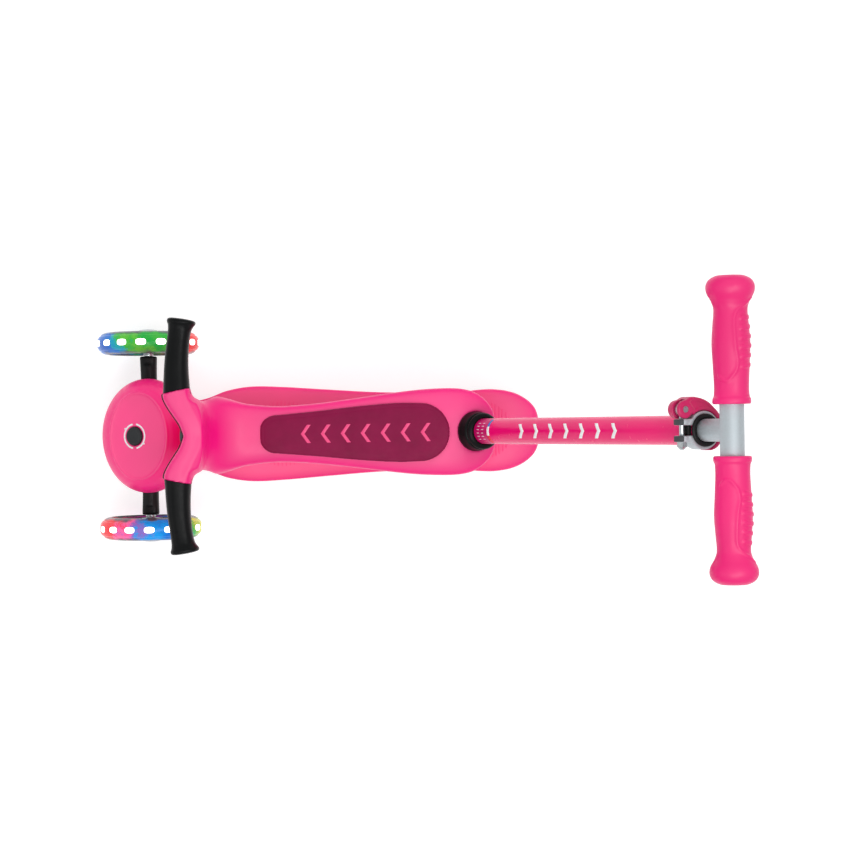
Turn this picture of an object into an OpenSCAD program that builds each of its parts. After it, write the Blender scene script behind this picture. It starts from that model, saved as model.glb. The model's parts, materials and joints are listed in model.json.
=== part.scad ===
// Three-wheel kick scooter for small children, set up as a seated ride-on with a push bar.
// X runs forward, Y to the rider's left, Z up. The origin is on the floor under the
// middle of the scooter's length and width. All sizes are in millimetres.

/* [Overall] */
// Length over the front wheels and the push bar's grips
total_len = 689.4; // [684:0.2:694]
// Width over the push bar's grips
bar_width = 280; // [272:1:288]
// Height of the push bar's cross tube with the stem pushed right in
bar_height = 600; // [596:1:606]
// Lean of the push bar from vertical, in degrees
bar_lean = 30; // [29.5:0.1:30.5]

/* [Wheels] */
// Diameter of a front wheel
front_wheel_d = 121; // [119:0.5:122]
// Width of a front wheel
front_wheel_w = 26; // [24:0.5:27]
// Distance between the middles of the front wheels
track = 218; // [216:1:222]
// Diameter of the rear wheel
rear_wheel_d = 80; // [79:0.5:81]
// Width of the rear wheel
rear_wheel_w = 36; // [34:1:36]
// Distance between the front and rear axles
wheelbase = 414; // [413:0.5:415]
// Lights set in each front wheel
light_count = 16; // [12:2:18]

/* [Steering] */
// Slope of the truck's pivot above the horizontal, in degrees
kingpin_slope = 50; // [48:1:52]

/* [Tubes] */
// Outer diameter of the push bar's lower tube
outer_tube_d = 28; // [28]
// Outer diameter of the telescopic stem
stem_d = 21; // [21]
// Outer diameter of the cross tube
cross_tube_d = 22.4; // [22.4]

/* [Seat] */
// Height of the seat pad's top
seat_height = 226; // [225:1:228]
// Thickness of the seat pad
pad_t = 4; // [3:0.5:4]
// Height of the rider's handlebar
handle_z = 278; // [277:1:280]
// Width over the rider's handlebar grips
handle_width = 252; // [248:1:256]

/* [Hidden] */
$fn = 64;

pink = "#f0558b";
plum = "#7a1742";
berry = "#b92f63";
black = "#1c1d1f";
steel = "#c9ced1";
clear = "#dfe9f5";
white = "#eceff0";

slide_gap = 0.05;       // radial clearance of a running fit
bulb_d = 45;            // widest part of a push-bar grip
front_x = total_len / 2 - front_wheel_d / 2;
front_z = front_wheel_d / 2;
rear_x = front_x - wheelbase;
rear_z = rear_wheel_d / 2;
bar_x = bulb_d / 2 - total_len / 2;

// ---------------------------------------------------------------- curves and lofts

// Index of the station row whose span holds x
function span_of(rows, x, i = 0) =
    i >= len(rows) - 2 || x < rows[i + 1][0] ? i : span_of(rows, x, i + 1);

// Slope of a table of stations at row i
function slope_at(rows, i) =
    let (a = rows[max(i - 1, 0)], b = rows[min(i + 1, len(rows) - 1)]) (b - a) / (b[0] - a[0]);

// Smooth curve through rows of [position, value, value ...], read at x
function at(rows, x) =
    let (
        i = span_of(rows, x),
        h = rows[i + 1][0] - rows[i][0],
        t = (x - rows[i][0]) / h
    )
    (2 * t ^ 3 - 3 * t ^ 2 + 1) * rows[i] + (3 * t ^ 2 - 2 * t ^ 3) * rows[i + 1]
    + (t ^ 3 - 2 * t ^ 2 + t) * h * slope_at(rows, i) + (t ^ 3 - t ^ 2) * h * slope_at(rows, i + 1);

// Evenly spaced numbers from a to b
function steps(a, b, count) = [for (i = [0:count]) a + (b - a) * i / count];

// One coordinate of a superellipse: power 2 is an ellipse, a higher power is squarer
function squared(c, power) = sign(c) * pow(abs(c), 2 / power);

// A closed ring about centre, with half axes u and v
function ring(centre, u, v, power = 2, count = 28) = [
    for (i = [0:count - 1])
        let (p = 360 * i / count) centre + u * squared(cos(p), power) + v * squared(sin(p), power)
];

// A solid through rings that follow each other along u x v
module loft(rings) {
    m = len(rings[0]);
    k = len(rings);
    polyhedron(
        points = [for (r = rings) each r],
        faces = concat(
            [[for (j = [0:m - 1]) j]],
            [for (i = [0:k - 2], j = [0:m - 1])
                let (a = i * m + j, b = i * m + (j + 1) % m, c = b + m, d = a + m)
                each [[a, d, c], [a, c, b]]],
            [[for (j = [m - 1:-1:0]) (k - 1) * m + j]]
        )
    );
}

// One moulded body: its outer and inner surfaces, bosses and ribs become a single skin
module moulded() {
    resize([0, 0, 0]) children();
}

// A wire coil that stands on Z = 0
module coil(radius, wire_r, height, turns) {
    per_turn = 14;
    count = turns * per_turn;
    loft([
        for (i = [0:count])
            let (
                a = 360 * i / per_turn,
                out = [cos(a), sin(a), 0],
                up = [0, 0, 1]
            )
            ring(out * radius + up * (wire_r + (height - 2 * wire_r) * i / count),
                 out * wire_r, -up * wire_r, 2, 6)
    ]);
}

// ---------------------------------------------------------------- local frames

// The push bar's own frame: origin where stem and cross tube meet, Z up along the stem,
// X towards the rider
module on_bar(z = 0) {
    translate([bar_x, 0, bar_height]) rotate([0, -bar_lean, 0]) translate([0, 0, z]) children();
}

// Along the truck's pivot, Z forward and up
kingpin_at = [276, 0, 66];
module on_kingpin() {
    translate(kingpin_at) rotate([0, 90 - kingpin_slope, 0]) children();
}

// Square on to the hub's oval face, X down its slope
face_tilt = 26;
face_at = [283, 0, 158];
module on_face(x = 0) {
    translate(face_at) rotate([0, face_tilt, 0]) translate([x, 0, 0]) children();
}

module about_y(at_point, h, r) {
    translate(at_point) rotate([90, 0, 0]) cylinder(h = h, r = r, center = true);
}

// ---------------------------------------------------------------- deck

deck_wall = 4;
deck_back = -90;
deck_front = 252;
// [x, half width, top, underside]
deck_stations = [
    [deck_back, 46, 84, 60], [-50, 46, 82, 54], [10, 47, 80, 52], [70, 51, 79.5, 51],
    [125, 55, 80, 51], [162, 56, 82, 52], [190, 51.5, 87, 57], [212, 43, 94, 66],
    [232, 39, 96, 76], [deck_front, 38, 94.8, 82]
];

function deck_ring(x, inset = 0, low = 0) =
    let (s = at(deck_stations, x), top = s[2] - inset, bottom = s[3] - low)
    ring([x, 0, (top + bottom) / 2], [0, s[1] - inset, 0], [0, 0, (top - bottom) / 2], 3.4);

nose_x = front_x - 6;
nose_bottom = 87;
nose_top = 95;
nose_a = 45;
nose_b = 57;

module ellipse_plate(centre, a, b, h, count = 40) {
    turn = 360 / count;
    translate(centre)
        linear_extrude(h) polygon([for (i = [0:count - 1]) [a * cos(turn * i), b * sin(turn * i)]]);
}

// A round hole in a moulded body, wide enough that its flats clear the radius
module clear_hole(h, r, sides = 36) {
    cylinder(h = h, r = r / cos(180 / sides), $fn = sides);
}

post_x = 201;            // the front post's axis
post_d = 28;
socket_r = 17.5;
socket_top = 99;
foot_z = 84.5;           // top of the rear socket, just under the seat's leg
leg_x = bar_x + (bar_height - foot_z) * tan(bar_lean);
tenon = [34, 26];        // the leg's plug in the deck
tenon_wall = 4;
tenon_gap = 0.3;

fork_inner = rear_wheel_w / 2 + 3.5;
fork_t = 7;
fork_outer = fork_inner + fork_t;
brake_pivot = [-96.5, 0, 76];

module deck() {
    color(pink) moulded() difference() {
        union() {
            difference() {
                loft([for (x = steps(deck_back, deck_front, 22)) deck_ring(x)]);
                // the hollow underside
                loft([for (x = steps(deck_back + 5, 176, 12)) deck_ring(x, deck_wall, 30)]);
            }
            // lengthwise and crosswise ribs in the hollow
            for (y = [-14, 14]) translate([deck_back + 2, y - 1.5, 57]) cube([272, 3, 20]);
            for (x = [-62, 30, 72, 114, 156]) translate([x - 1.5, -41, 57]) cube([3, 82, 20]);
            // blocks round the two sockets
            translate([leg_x - 26, -22, 57]) cube([52, 44, 20]);
            translate([post_x, 0, 58]) cylinder(h = socket_top - 61, r = 25, $fn = 36);
            ellipse_plate([nose_x, 0, nose_bottom], nose_a, nose_b, nose_top - nose_bottom);
        }
        translate([post_x, 0, 40]) clear_hole(80, socket_r);
        translate([post_x, 0, socket_top - 3]) clear_hole(20, socket_r + 3);
        translate([leg_x - tenon[0] / 2 - tenon_wall, -tenon[1] / 2 - tenon_wall, 40])
            cube([tenon[0] + 2 * tenon_wall, tenon[1] + 2 * tenon_wall, 60]);
        // slots for the rear fork's two plates
        for (side = [-1, 1])
            translate([deck_back - 1, side * (fork_inner + fork_t / 2) - fork_t / 2 - 0.1, 40])
                cube([42, fork_t + 0.2, 39]);
        // room for the fork's cross piece
        translate([deck_back + 7, -fork_inner - 2, 50]) cube([16, 2 * fork_inner + 4, 14]);
        on_kingpin() clear_hole(60, 15);
        for (a = cover_screw_angles) translate(cover_screw_at(a)) {
            cylinder(h = 30, r = 1.8, $fn = 16);
            translate([0, 0, -10]) cylinder(h = 12.4, r = 3.8, $fn = 20);
        }
        on_face(button_x) translate([0, 0, -110]) clear_hole(80, 3.6, 24);
    }
}

module fork_plate() {
    translate([rear_x, rear_z]) circle(r = 14);
    translate([brake_pivot[0], brake_pivot[2]]) circle(r = 6.5);
    polygon([
        [rear_x - 2, rear_z + 13.8], [brake_pivot[0] - 4, brake_pivot[2] + 5], [brake_pivot[0], 81],
        [deck_back + 6, 77], [deck_back + 40, 77], [deck_back + 40, 64], [deck_back + 10, 56],
        [rear_x + 6, rear_z - 12.6]
    ]);
}

module rear_fork() {
    color(black) difference() {
        union() {
            for (y = [-fork_inner, fork_outer])
                translate([0, y, 0]) rotate([90, 0, 0]) linear_extrude(fork_t) fork_plate();
            // cross piece that joins the plates behind the deck's rear rib
            translate([deck_back + 8, -fork_inner - 1, 58]) cube([14, 2 * fork_inner + 2, 5]);
        }
        about_y([rear_x, 0, rear_z], 80, axle_r);
        about_y(brake_pivot, 90, 3);
    }
}

module front_socket() {
    // sleeve in the deck's neck that takes the seat's front post
    color(black) translate([post_x, 0, 0]) difference() {
        union() {
            translate([0, 0, 57]) cylinder(h = socket_top - 57, r = socket_r);
            translate([0, 0, socket_top - 3]) cylinder(h = 3, r = socket_r + 3);
        }
        translate([0, 0, 60]) cylinder(h = 70, r = post_d / 2 + slide_gap);
        translate([0, 0, 50]) cylinder(h = 20, r = 9);
    }
}

module rear_socket() {
    // square sleeve in the deck that takes the leg's plug
    outer = [tenon[0] + 2 * tenon_wall, tenon[1] + 2 * tenon_wall];
    color(black) translate([leg_x, 0, 0]) difference() {
        union() {
            translate([-outer[0] / 2, -outer[1] / 2, 57]) cube([outer[0], outer[1], foot_z - 57]);
            translate([-outer[0] / 2 - 3, -outer[1] / 2 - 3, 82.1])
                cube([outer[0] + 6, outer[1] + 6, foot_z - 82.1]);
        }
        translate([-tenon[0] / 2 - tenon_gap, -tenon[1] / 2 - tenon_gap, 60])
            cube([tenon[0] + 2 * tenon_gap, tenon[1] + 2 * tenon_gap, 40]);
    }
}

// ---------------------------------------------------------------- hub

// [z, half length, half width, middle x, tilt] of the hub's outer skin
hub_stations = [
    [92, 50, 62.5, 278, 0], [100, 52.6, 65.6, 278.2, 1], [112, 53.2, 66.2, 278.6, 4],
    [126, 52, 65, 279.4, 10], [140, 48.6, 61.4, 280.6, 17], [150, 44.4, 56.6, 281.8, 22.5],
    [156.6, 39.8, 51.4, 282.8, 26]
];

function hub_ring(z, inset = 0) =
    let (s = at(hub_stations, z), lean = s[4])
    ring([s[3], 0, z - inset], [cos(lean), 0, -sin(lean)] * (s[1] - inset), [0, s[2] - inset, 0], 2, 44);

button_r = 10.5;
button_x = 5;
hub_wall = 3;
cover_screw_angles = [35, 145, 215, 325];
function cover_screw_at(a) = [nose_x + 34 * cos(a), 44 * sin(a), nose_bottom - 2.4];

module hub_cover() {
    color(pink) moulded() difference() {
        union() {
            difference() {
                union() {
                    loft([for (z = steps(92, 156.6, 11)) hub_ring(z)]);
                    // the raised face
                    on_face() ellipse_plate([0, 0, -2], 38.4, 49.6, 3, 44);
                }
                // hollow, open below, with a pillar left standing over each screw
                difference() {
                    loft(concat([[for (p = hub_ring(95, hub_wall)) [p[0], p[1], 80]]],
                                [for (z = steps(95, 156.6, 8)) hub_ring(z, hub_wall)]));
                    for (a = cover_screw_angles)
                        translate(cover_screw_at(a) + [0, 0, 10.4]) cylinder(h = 90, r = 4, $fn = 20);
                }
            }
            // guide round the lock button
            on_face(button_x) translate([0, 0, -12]) cylinder(h = 11, r = button_r + 2.4, $fn = 40);
        }
        // the shallow dish of the oval face
        on_face() ellipse_plate([0, 0, 0.2], 37.2, 48, 4, 44);
        // notch that straddles the deck's neck
        translate([205, -43, 80]) cube([36, 86, 20]);
        on_face(button_x) translate([0, 0, -20]) clear_hole(30, button_r + 0.3, 48);
        for (a = cover_screw_angles) translate(cover_screw_at(a)) cylinder(h = 24, r = 1.7, $fn = 16);
    }
}

module cover_screws() {
    // four screws up through the deck's nose into the hub cover
    color(steel) for (a = cover_screw_angles) translate(cover_screw_at(a)) {
        cylinder(h = 2.4, r = 3.4);
        translate([0, 0, 2.3]) cylinder(h = 18, r = 1.6);
    }
}

mark_r = 13.6;
module lock_mark() {
    // two printed arcs and two dots round the lock button
    color(white) on_face(button_x) translate([0, 0, 0.2]) linear_extrude(0.4) difference() {
        union() {
            circle(r = mark_r + 0.9);
            for (a = [135, 315]) rotate(a) translate([mark_r + 1.2, 0]) circle(r = 1.3);
        }
        circle(r = mark_r - 0.9);
        for (s = [-1, 1]) translate([-2.6, s * mark_r - 2.5]) square([5.2, 5]);
    }
}

module lock_button() {
    color(black) on_face(button_x) difference() {
        rotate_extrude() polygon([
            [0, -14], [6, -14], [6, -7], [button_r, -7], [button_r, 1.2], [button_r - 1, 2.2],
            [button_r - 4, 2.6], [0, 2.2]
        ]);
        translate([0, 0, -15]) cylinder(h = 8, r = 3);
    }
}

module lock_pin() {
    color(steel) on_face(button_x) translate([0, 0, -80]) cylinder(h = 73, r = 3);
}

module lock_spring() {
    color(steel) on_face(button_x) translate([0, 0, -64.4]) coil(4.6, 0.7, 46, 7);
}

// ---------------------------------------------------------------- steering pivot

module kingpin_mount() {
    // block under the deck's nose that holds the kingpin square to its slope
    color(black) difference() {
        intersection() {
            on_kingpin() translate([0, 0, 13.5]) cylinder(h = 40, r = 15);
            translate([240, -30, 60]) cube([90, 60, nose_top - 60]);
        }
        on_kingpin() cylinder(h = 60, r = 4);
        on_kingpin() translate([0, 0, 24]) cylinder(h = 30, r = 9);
    }
}

module kingpin() {
    color(steel) on_kingpin() {
        translate([0, 0, -19]) cylinder(h = 43.1, r = 4);
        translate([0, 0, 24]) cylinder(h = 5, r = 7.5, $fn = 6);
    }
}

module kingpin_nut() {
    color(steel) on_kingpin() translate([0, 0, -20]) difference() {
        cylinder(h = 6.5, r = 7.5, $fn = 6);
        translate([0, 0, -1]) cylinder(h = 9, r = 4);
    }
}

module steering_bumpers() {
    // rubber stops that the truck's arms meet at full lock
    color("#4a4d50") for (side = [-1, 1]) translate([281.5, side * 27, 78]) cylinder(h = 9, r = 8);
}

// ---------------------------------------------------------------- truck and front wheels

axle_r = 4;
arm_inner = 10;
arm_outer = track / 2 - front_wheel_w / 2 - 2;
// [y, x, z, half depth, half height] of one of the truck's arms
arm_stations = [
    [arm_inner, 279, 62, 13, 11], [30, 281.5, 61, 10.5, 9.5], [48, 283.2, 60.6, 9.4, 8.6],
    [70, 284, front_z, 9.2, 8.2], [arm_outer, front_x, front_z, 9, 8]
];

// Rings run towards the right, so the left arm starts at its outer end
module truck_arm(side) {
    loft([for (y = side > 0 ? steps(arm_outer, arm_inner, 8) : steps(-arm_inner, -arm_outer, 8))
        let (s = at(arm_stations, abs(y)))
        ring([s[1], y, s[2]], [s[3], 0, 0], [0, 0, s[4]], 2.6, 20)]);
}

module truck_beam() {
    color(black) difference() {
        union() {
            moulded() {
                truck_arm(1);
                truck_arm(-1);
            }
            on_kingpin() cylinder(h = 26, r = 15, center = true);
            // the tab that the lock pin points to
            translate([246, -7, 62]) cube([22, 14, 7]);
        }
        on_kingpin() cylinder(h = 60, r = 6, center = true);
        for (side = [-1, 1])
            about_y([front_x, side * (arm_outer - 14), front_z], 40, axle_r);
    }
}

module truck_bushes() {
    // a flanged bush in each end of the truck's boss
    color(white) on_kingpin() for (turn = [0, 180]) rotate([turn, 0, 0]) translate([0, 0, 3])
        difference() {
            union() {
                cylinder(h = 10, r = 6);
                translate([0, 0, 10]) cylinder(h = 0.4, r = 9);
            }
            translate([0, 0, -1]) cylinder(h = 13, r = axle_r + slide_gap);
        }
}

module front_axles() {
    // steel stubs pressed into the truck, with the screw head that keeps each wheel on
    bearing_y = [track / 2 - core_w / 2 - 1, track / 2 + core_w / 2 + 1];
    color(steel) for (side = [-1, 1]) {
        translate([front_x, side * (arm_outer - 34), front_z]) rotate([-90 * side, 0, 0])
            cylinder(h = bearing_y[1] - arm_outer + 35, r = axle_r);
        translate([front_x, side * arm_outer, front_z]) rotate([-90 * side, 0, 0])
            cylinder(h = bearing_y[0] - arm_outer - 0.3, r = 6);
        translate([front_x, side * (bearing_y[1] + 0.3), front_z]) rotate([-90 * side, 0, 0])
            cylinder(h = 1.8, r = 6.5);
    }
}

tyre_inner_r = 45;
light_r = 52.5;
core_w = 20;
bearing_w = 7;
bearing_r = 11;

// Half outline of a round-treaded tyre from its bore to its tread
function tread(r_out, r_in, w, crown) = concat(
    [[r_in, -w / 2 + 2], [r_in + 2, -w / 2], [r_out - crown, -w / 2]],
    [for (a = [-75:15:75]) [r_out - crown + crown * cos(a), (w / 2) * sin(a)]],
    [[r_out - crown, w / 2], [r_in + 2, w / 2], [r_in, w / 2 - 2]]
);

// A front wheel's own frame, Z along the axle and outwards
module at_wheel(side) {
    translate([front_x, side * track / 2, front_z]) rotate([-90 * side, 0, 0]) children();
}

module front_tyre(side) {
    color(clear, 0.6) at_wheel(side) rotate_extrude($fn = 96) difference() {
        polygon(tread(front_wheel_d / 2, tyre_inner_r, front_wheel_w, 13));
        // groove that holds the lights
        translate([tyre_inner_r - 1, -6]) square([light_r + 1 - tyre_inner_r, 12]);
    }
}

// The two bearings' outlines in the ends of a hub, or with slack the seats cut for them
module bearing_pair(hub_width, slack = 0) {
    for (s = [-1, 1]) translate([0, 0, s * (hub_width - bearing_w) / 2])
        cylinder(h = bearing_w + slack, r = bearing_r, center = true);
}

spoke_count = 5;
module front_core(side) {
    color(black) at_wheel(side) difference() {
        union() {
            rotate_extrude($fn = 96) difference() {
                translate([tyre_inner_r - 5, -core_w / 2]) square([5, core_w]);
                translate([tyre_inner_r - 1.5, -5]) square([3, 10]);
            }
            cylinder(h = core_w + 2, r = 15, center = true);
            for (i = [0:spoke_count - 1]) rotate(i * 360 / spoke_count)
                translate([13, -5, -7]) cube([28, 10, 14]);
        }
        cylinder(h = 40, r = 9, center = true);
        bearing_pair(core_w + 2, 0.2);
    }
}

module wheel_lights(side) {
    // carrier ring on the core, with the lamps standing on it
    color("white") at_wheel(side) {
        rotate_extrude($fn = 96) translate([tyre_inner_r - 1.4, -4.6]) square([4.4, 9.2]);
        for (i = [0:light_count - 1]) rotate(i * 360 / light_count)
            translate([tyre_inner_r + 2.6, -5, -3]) cube([3.8, 10, 6]);
    }
}

// Two ball bearings and the spacer tube between them, about Z, for a hub of the given width
module bearing_set(hub_width, spacer_r) {
    difference() {
        union() {
            bearing_pair(hub_width);
            cylinder(h = hub_width - 2 * bearing_w + 0.2, r = spacer_r, center = true);
        }
        cylinder(h = hub_width + 4, r = axle_r + slide_gap, center = true);
    }
}

module front_bearings(side) {
    color(steel) at_wheel(side) bearing_set(core_w + 2, 7);
}

module front_hub_cap(side) {
    color(steel) at_wheel(side) translate([0, 0, core_w / 2 + 1]) rotate_extrude() polygon([
        [9.2, 0], [15, 0], [15, 1.5], [12, 4], [7, 5.6], [0, 6], [0, 4.6], [6.8, 4.2], [9.2, 3]
    ]);
}

// ---------------------------------------------------------------- rear wheel and brake

rear_bore_r = 29;

module at_rear_axle() {
    translate([rear_x, 0, rear_z]) rotate([90, 0, 0]) children();
}

module rear_tyre() {
    color(black) at_rear_axle() rotate_extrude($fn = 96)
        polygon(tread(rear_wheel_d / 2, rear_bore_r, rear_wheel_w, 8));
}

module rear_core() {
    color(white) at_rear_axle() difference() {
        union() {
            difference() {
                cylinder(h = rear_wheel_w - 4, r = rear_bore_r, center = true);
                cylinder(h = rear_wheel_w, r = rear_bore_r - 4, center = true);
            }
            cylinder(h = rear_wheel_w, r = 14, center = true);
            for (i = [0:5]) rotate(i * 60) translate([12, -2, -13]) cube([14.5, 4, 26]);
        }
        cylinder(h = 60, r = 8.5, center = true);
        bearing_pair(rear_wheel_w, 0.2);
    }
}

module rear_bearings() {
    color(steel) at_rear_axle() bearing_set(rear_wheel_w, 7);
}

module rear_axle_bolt() {
    spacer = fork_inner - rear_wheel_w / 2 - 0.6;
    color(steel) at_rear_axle() {
        cylinder(h = 2 * fork_outer + 7, r = axle_r, center = true);
        translate([0, 0, fork_outer]) cylinder(h = 4.5, r = 7.2);
        for (s = [-1, 1]) translate([0, 0, s * (fork_inner - spacer / 2)])
            cylinder(h = spacer, r = 6, center = true);
    }
}

module rear_axle_nut() {
    color(steel) at_rear_axle() translate([0, 0, -fork_outer - 5.5]) difference() {
        cylinder(h = 5.5, r = 7.2, $fn = 6);
        translate([0, 0, -1]) cylinder(h = 9, r = axle_r);
    }
}

brake_front = -92.5;
brake_back = -177;
// [x, half width, top, side skirt's lower edge]
brake_stations = [
    [brake_back, 12, 74, 68], [-174, 22, 79, 63], [-168, 31, 85, 59], [-156, 40, 91, 57],
    [-142, 45.5, 94.5, 58], [-124, 48.2, 95, 61], [-108, 48, 92, 64], [brake_front, 46.6, 88, 66]
];

function brake_ring(x, inset = 0) =
    let (s = at(brake_stations, x), top = s[2] - inset, bottom = s[3] - (inset > 0 ? 30 : 0))
    ring([x, 0, (top + bottom) / 2], [0, s[1] - inset, 0], [0, 0, (top - bottom) / 2], 3.6);

ear_y = 18;      // middle of each ear that hangs on the brake's pin
ear_t = 6;

module rear_brake() {
    color(pink) difference() {
        union() {
            moulded() difference() {
                loft([for (x = steps(brake_back, brake_front, 14)) brake_ring(x)]);
                loft([for (x = steps(brake_back + 6, brake_front + 1, 9)) brake_ring(x, 4)]);
            }
            for (side = [-1, 1]) translate([0, side * ear_y, 0]) {
                about_y(brake_pivot, ear_t, 5.5);
                translate([brake_pivot[0] - 4, -ear_t / 2, brake_pivot[2]]) cube([8, ear_t, 9]);
            }
        }
        about_y(brake_pivot, 90, 3 + slide_gap);
    }
}

module brake_plate() {
    // friction plate over the wheel, hung from the brake's skin by a rib
    plate_r = rear_wheel_d / 2 + 4.4;
    color(steel) {
        intersection() {
            difference() {
                about_y([rear_x, 0, rear_z], 26, plate_r + 2);
                about_y([rear_x, 0, rear_z], 60, plate_r);
            }
            translate([rear_x - 14, -13, 60]) cube([34, 26, 40]);
        }
        translate([rear_x - 4, -10, rear_z + plate_r + 1.8]) cube([8, 20, 3]);
    }
}

module brake_pin() {
    color(steel) about_y(brake_pivot, 2 * fork_outer + 3, 3);
}

module brake_spring() {
    color(steel) translate([brake_pivot[0], 7, brake_pivot[2]]) rotate([90, 0, 0]) coil(4.2, 0.7, 14, 5);
}

// ---------------------------------------------------------------- seat unit

seat_top = seat_height - pad_t;
seat_wall = 3;
seat_split = 190;      // height where the shell meets the base
base_front = 168;
tail_x = -122;
// [x, half width, top, underside] of the saddle
seat_stations = [
    [tail_x, 12, 196, 190], [-118, 24, 202, 187], [-110, 35, 207.5, 185], [-98, 43.5, 213.5, 184],
    [-84, 47.4, 219, 184], [-66, 48.4, seat_top, 184], [-34, 47, seat_top, 184], [0, 43.2, seat_top, 184],
    [40, 38, seat_top, 184], [80, 33.4, seat_top, 184], [118, 31.2, seat_top, 184],
    [148, 33.4, 223.5, 183], [172, 37.6, 227, 178], [186, 39, 231, 172]
];

function seat_ring(x, inset = 0, roof = 0) =
    let (s = at(seat_stations, x), top = s[2] - inset - roof, bottom = s[3] + inset)
    ring([x, 0, (top + bottom) / 2], [0, s[1] - inset, 0], [0, 0, (top - bottom) / 2], 3.2, 24);

column_foot = socket_top + 0.4;
// [z, middle x, half depth, half width] of the front column
column_stations = [
    [column_foot, 201, 20.5, 30], [120, 200.5, 20.5, 29.5], [150, 200, 21.5, 30], [178, 200, 24, 33.5],
    [200, 200.5, 25.5, 36.5], [222, 201.5, 23, 36.5], [246, 203.5, 15.5, 37], [262, 204, 9.5, 38],
    [283, 206, 6.5, 30]
];

function column_ring(z, inset = 0) =
    let (s = at(column_stations, z))
    ring([s[1], 0, z], [s[2] - inset, 0, 0], [0, s[3] - inset, 0], 2.7, 24);

// [y, x, half depth, half height] of the yoke that carries the grips, from the middle outwards
yoke_half = 48;
yoke_x = 223.2;
yoke_stations = [
    [0, 208, 8, 13], [12, 210, 10.5, 13.4], [22, 214.5, 12.5, 13.8], [32, 219.8, 13.6, 13.8],
    [41, 223, 14.6, 13.8], [yoke_half, yoke_x, 14.6, 13.6]
];

// A ring of the yoke at y, which may stand proud in front and below
function yoke_ring(y, proud = 0) =
    let (s = at(yoke_stations, abs(y)))
    ring([s[1] + proud / 2, y, handle_z], [0, 0, s[3] + proud], [s[2] + proud / 2, 0, 0], 2.3, 20);

module column(grow = 0) {
    loft([for (z = steps(column_foot, 283, 14)) column_ring(z, -grow)]);
}

module yoke(proud = 0) {
    loft([for (y = steps(-yoke_half, yoke_half, 16)) yoke_ring(y, proud)]);
}

// Outline of the seat pad, a point for each angle
pad_front = 139;
pad_back = -70;
pad_tail_r = 32;
pad_corner = [18, 16];       // how long and how wide the front corners' rounding is
// [x, half width]
pad_widths = [
    [pad_back + pad_tail_r, 32], [-13, 32.5], [30, 29.6], [75, 25], [pad_front - pad_corner[0], 21]
];

// The pad's left edge from its tail forward, scaled across by side
function pad_edge(side) = concat(
    [for (a = [180:-15:105]) [pad_back + pad_tail_r * (1 + cos(a)), side * pad_tail_r * sin(a)]],
    [for (x = steps(pad_back + pad_tail_r, pad_front - pad_corner[0], 9))
        [x, side * at(pad_widths, x)[1]]],
    [for (a = [75:-15:0])
        [pad_front - pad_corner[0] * (1 - cos(a)), side * (21 - pad_corner[1] * (1 - sin(a)))]]
);

module pad_shape() {
    right = pad_edge(-1);
    polygon(concat(pad_edge(1), [for (i = [len(right) - 1:-1:1]) right[i]]));
}
pad_sink = 2.5;        // how far the pad is let into the shell

seat_screw_spots = [[150, -17], [150, 17], [20, -24], [20, 24]];

module seat_shell() {
    color(pink) moulded() difference() {
        union() {
            difference() {
                union() {
                    loft([for (x = steps(tail_x, 186, 24)) seat_ring(x)]);
                    column();
                    // the black core takes the yoke's lower half
                    intersection() {
                        yoke();
                        translate([150, 0.2 - yoke_half, handle_z]) cube([100, 2 * yoke_half - 0.4, 30]);
                    }
                }
                loft([for (x = steps(tail_x + 5, 184, 14)) seat_ring(x, seat_wall, 3)]);
                loft([for (z = steps(132, 262, 9)) column_ring(z, seat_wall)]);
            }
            for (p = seat_screw_spots)
                translate([p[0], p[1], seat_split])
                    cylinder(h = seat_top - pad_sink - seat_split, r = 4.5, $fn = 20);
        }
        translate([0, 0, seat_top - pad_sink]) linear_extrude(20) pad_shape();
        // below the split is the base
        translate([tail_x - 5, -60, 150]) cube([base_front - tail_x + 5, 120, seat_split - 150]);
        on_bar(-560) clear_hole(160, bar_socket_r);
        release_pocket();
        // flat seat for the collar
        on_bar(collar_base) clear_hole(40, collar_r);
        translate([post_x, 0, 90]) clear_hole(42, post_d / 2);
        for (p = seat_screw_spots)
            translate([p[0], p[1], seat_split - 1]) cylinder(h = 20, r = 1.7, $fn = 16);
    }
}

bar_socket_r = 18;
leg_foot = foot_z + 0.4;
// [z, half depth, half width] of the leg under the saddle, which runs along the push bar's line
leg_stations = [
    [leg_foot, 32, 27], [92, 29, 26], [104, 26.5, 24.5], [140, 26, 24.5], [170, 28, 27], [190, 31, 31]
];

function leg_ring(z) =
    let (s = at(leg_stations, z))
    ring([bar_x + (bar_height - z) * tan(bar_lean), 0, z], [s[1], 0, 0], [0, s[2], 0], 2.8, 24);

module seat_base() {
    color(pink) moulded() difference() {
        union() {
            intersection() {
                difference() {
                    loft([for (x = steps(tail_x, 186, 24)) seat_ring(x)]);
                    loft([for (x = steps(tail_x + 5, 168, 14)) seat_ring(x, seat_wall)]);
                }
                translate([tail_x - 5, -60, 150])
                    cube([base_front - tail_x + 4.9, 120, seat_split - 150]);
            }
            loft([for (z = steps(leg_foot, seat_split, 9)) leg_ring(z)]);
            for (p = seat_screw_spots) translate([p[0], p[1], 184.5])
                cylinder(h = seat_split - 184.5, r = 4.5, $fn = 20);
            translate([leg_x - tenon[0] / 2, -tenon[1] / 2, 61]) cube([tenon[0], tenon[1], 30]);
        }
        on_bar(-bar_socket_end) clear_hole(160, bar_socket_r);
        for (p = seat_screw_spots) translate([p[0], p[1], 0]) {
            translate([0, 0, 170]) cylinder(h = 15.6, r = 3.8, $fn = 20);
            translate([0, 0, 170]) cylinder(h = 30, r = 1.9, $fn = 16);
        }
    }
}

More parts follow.
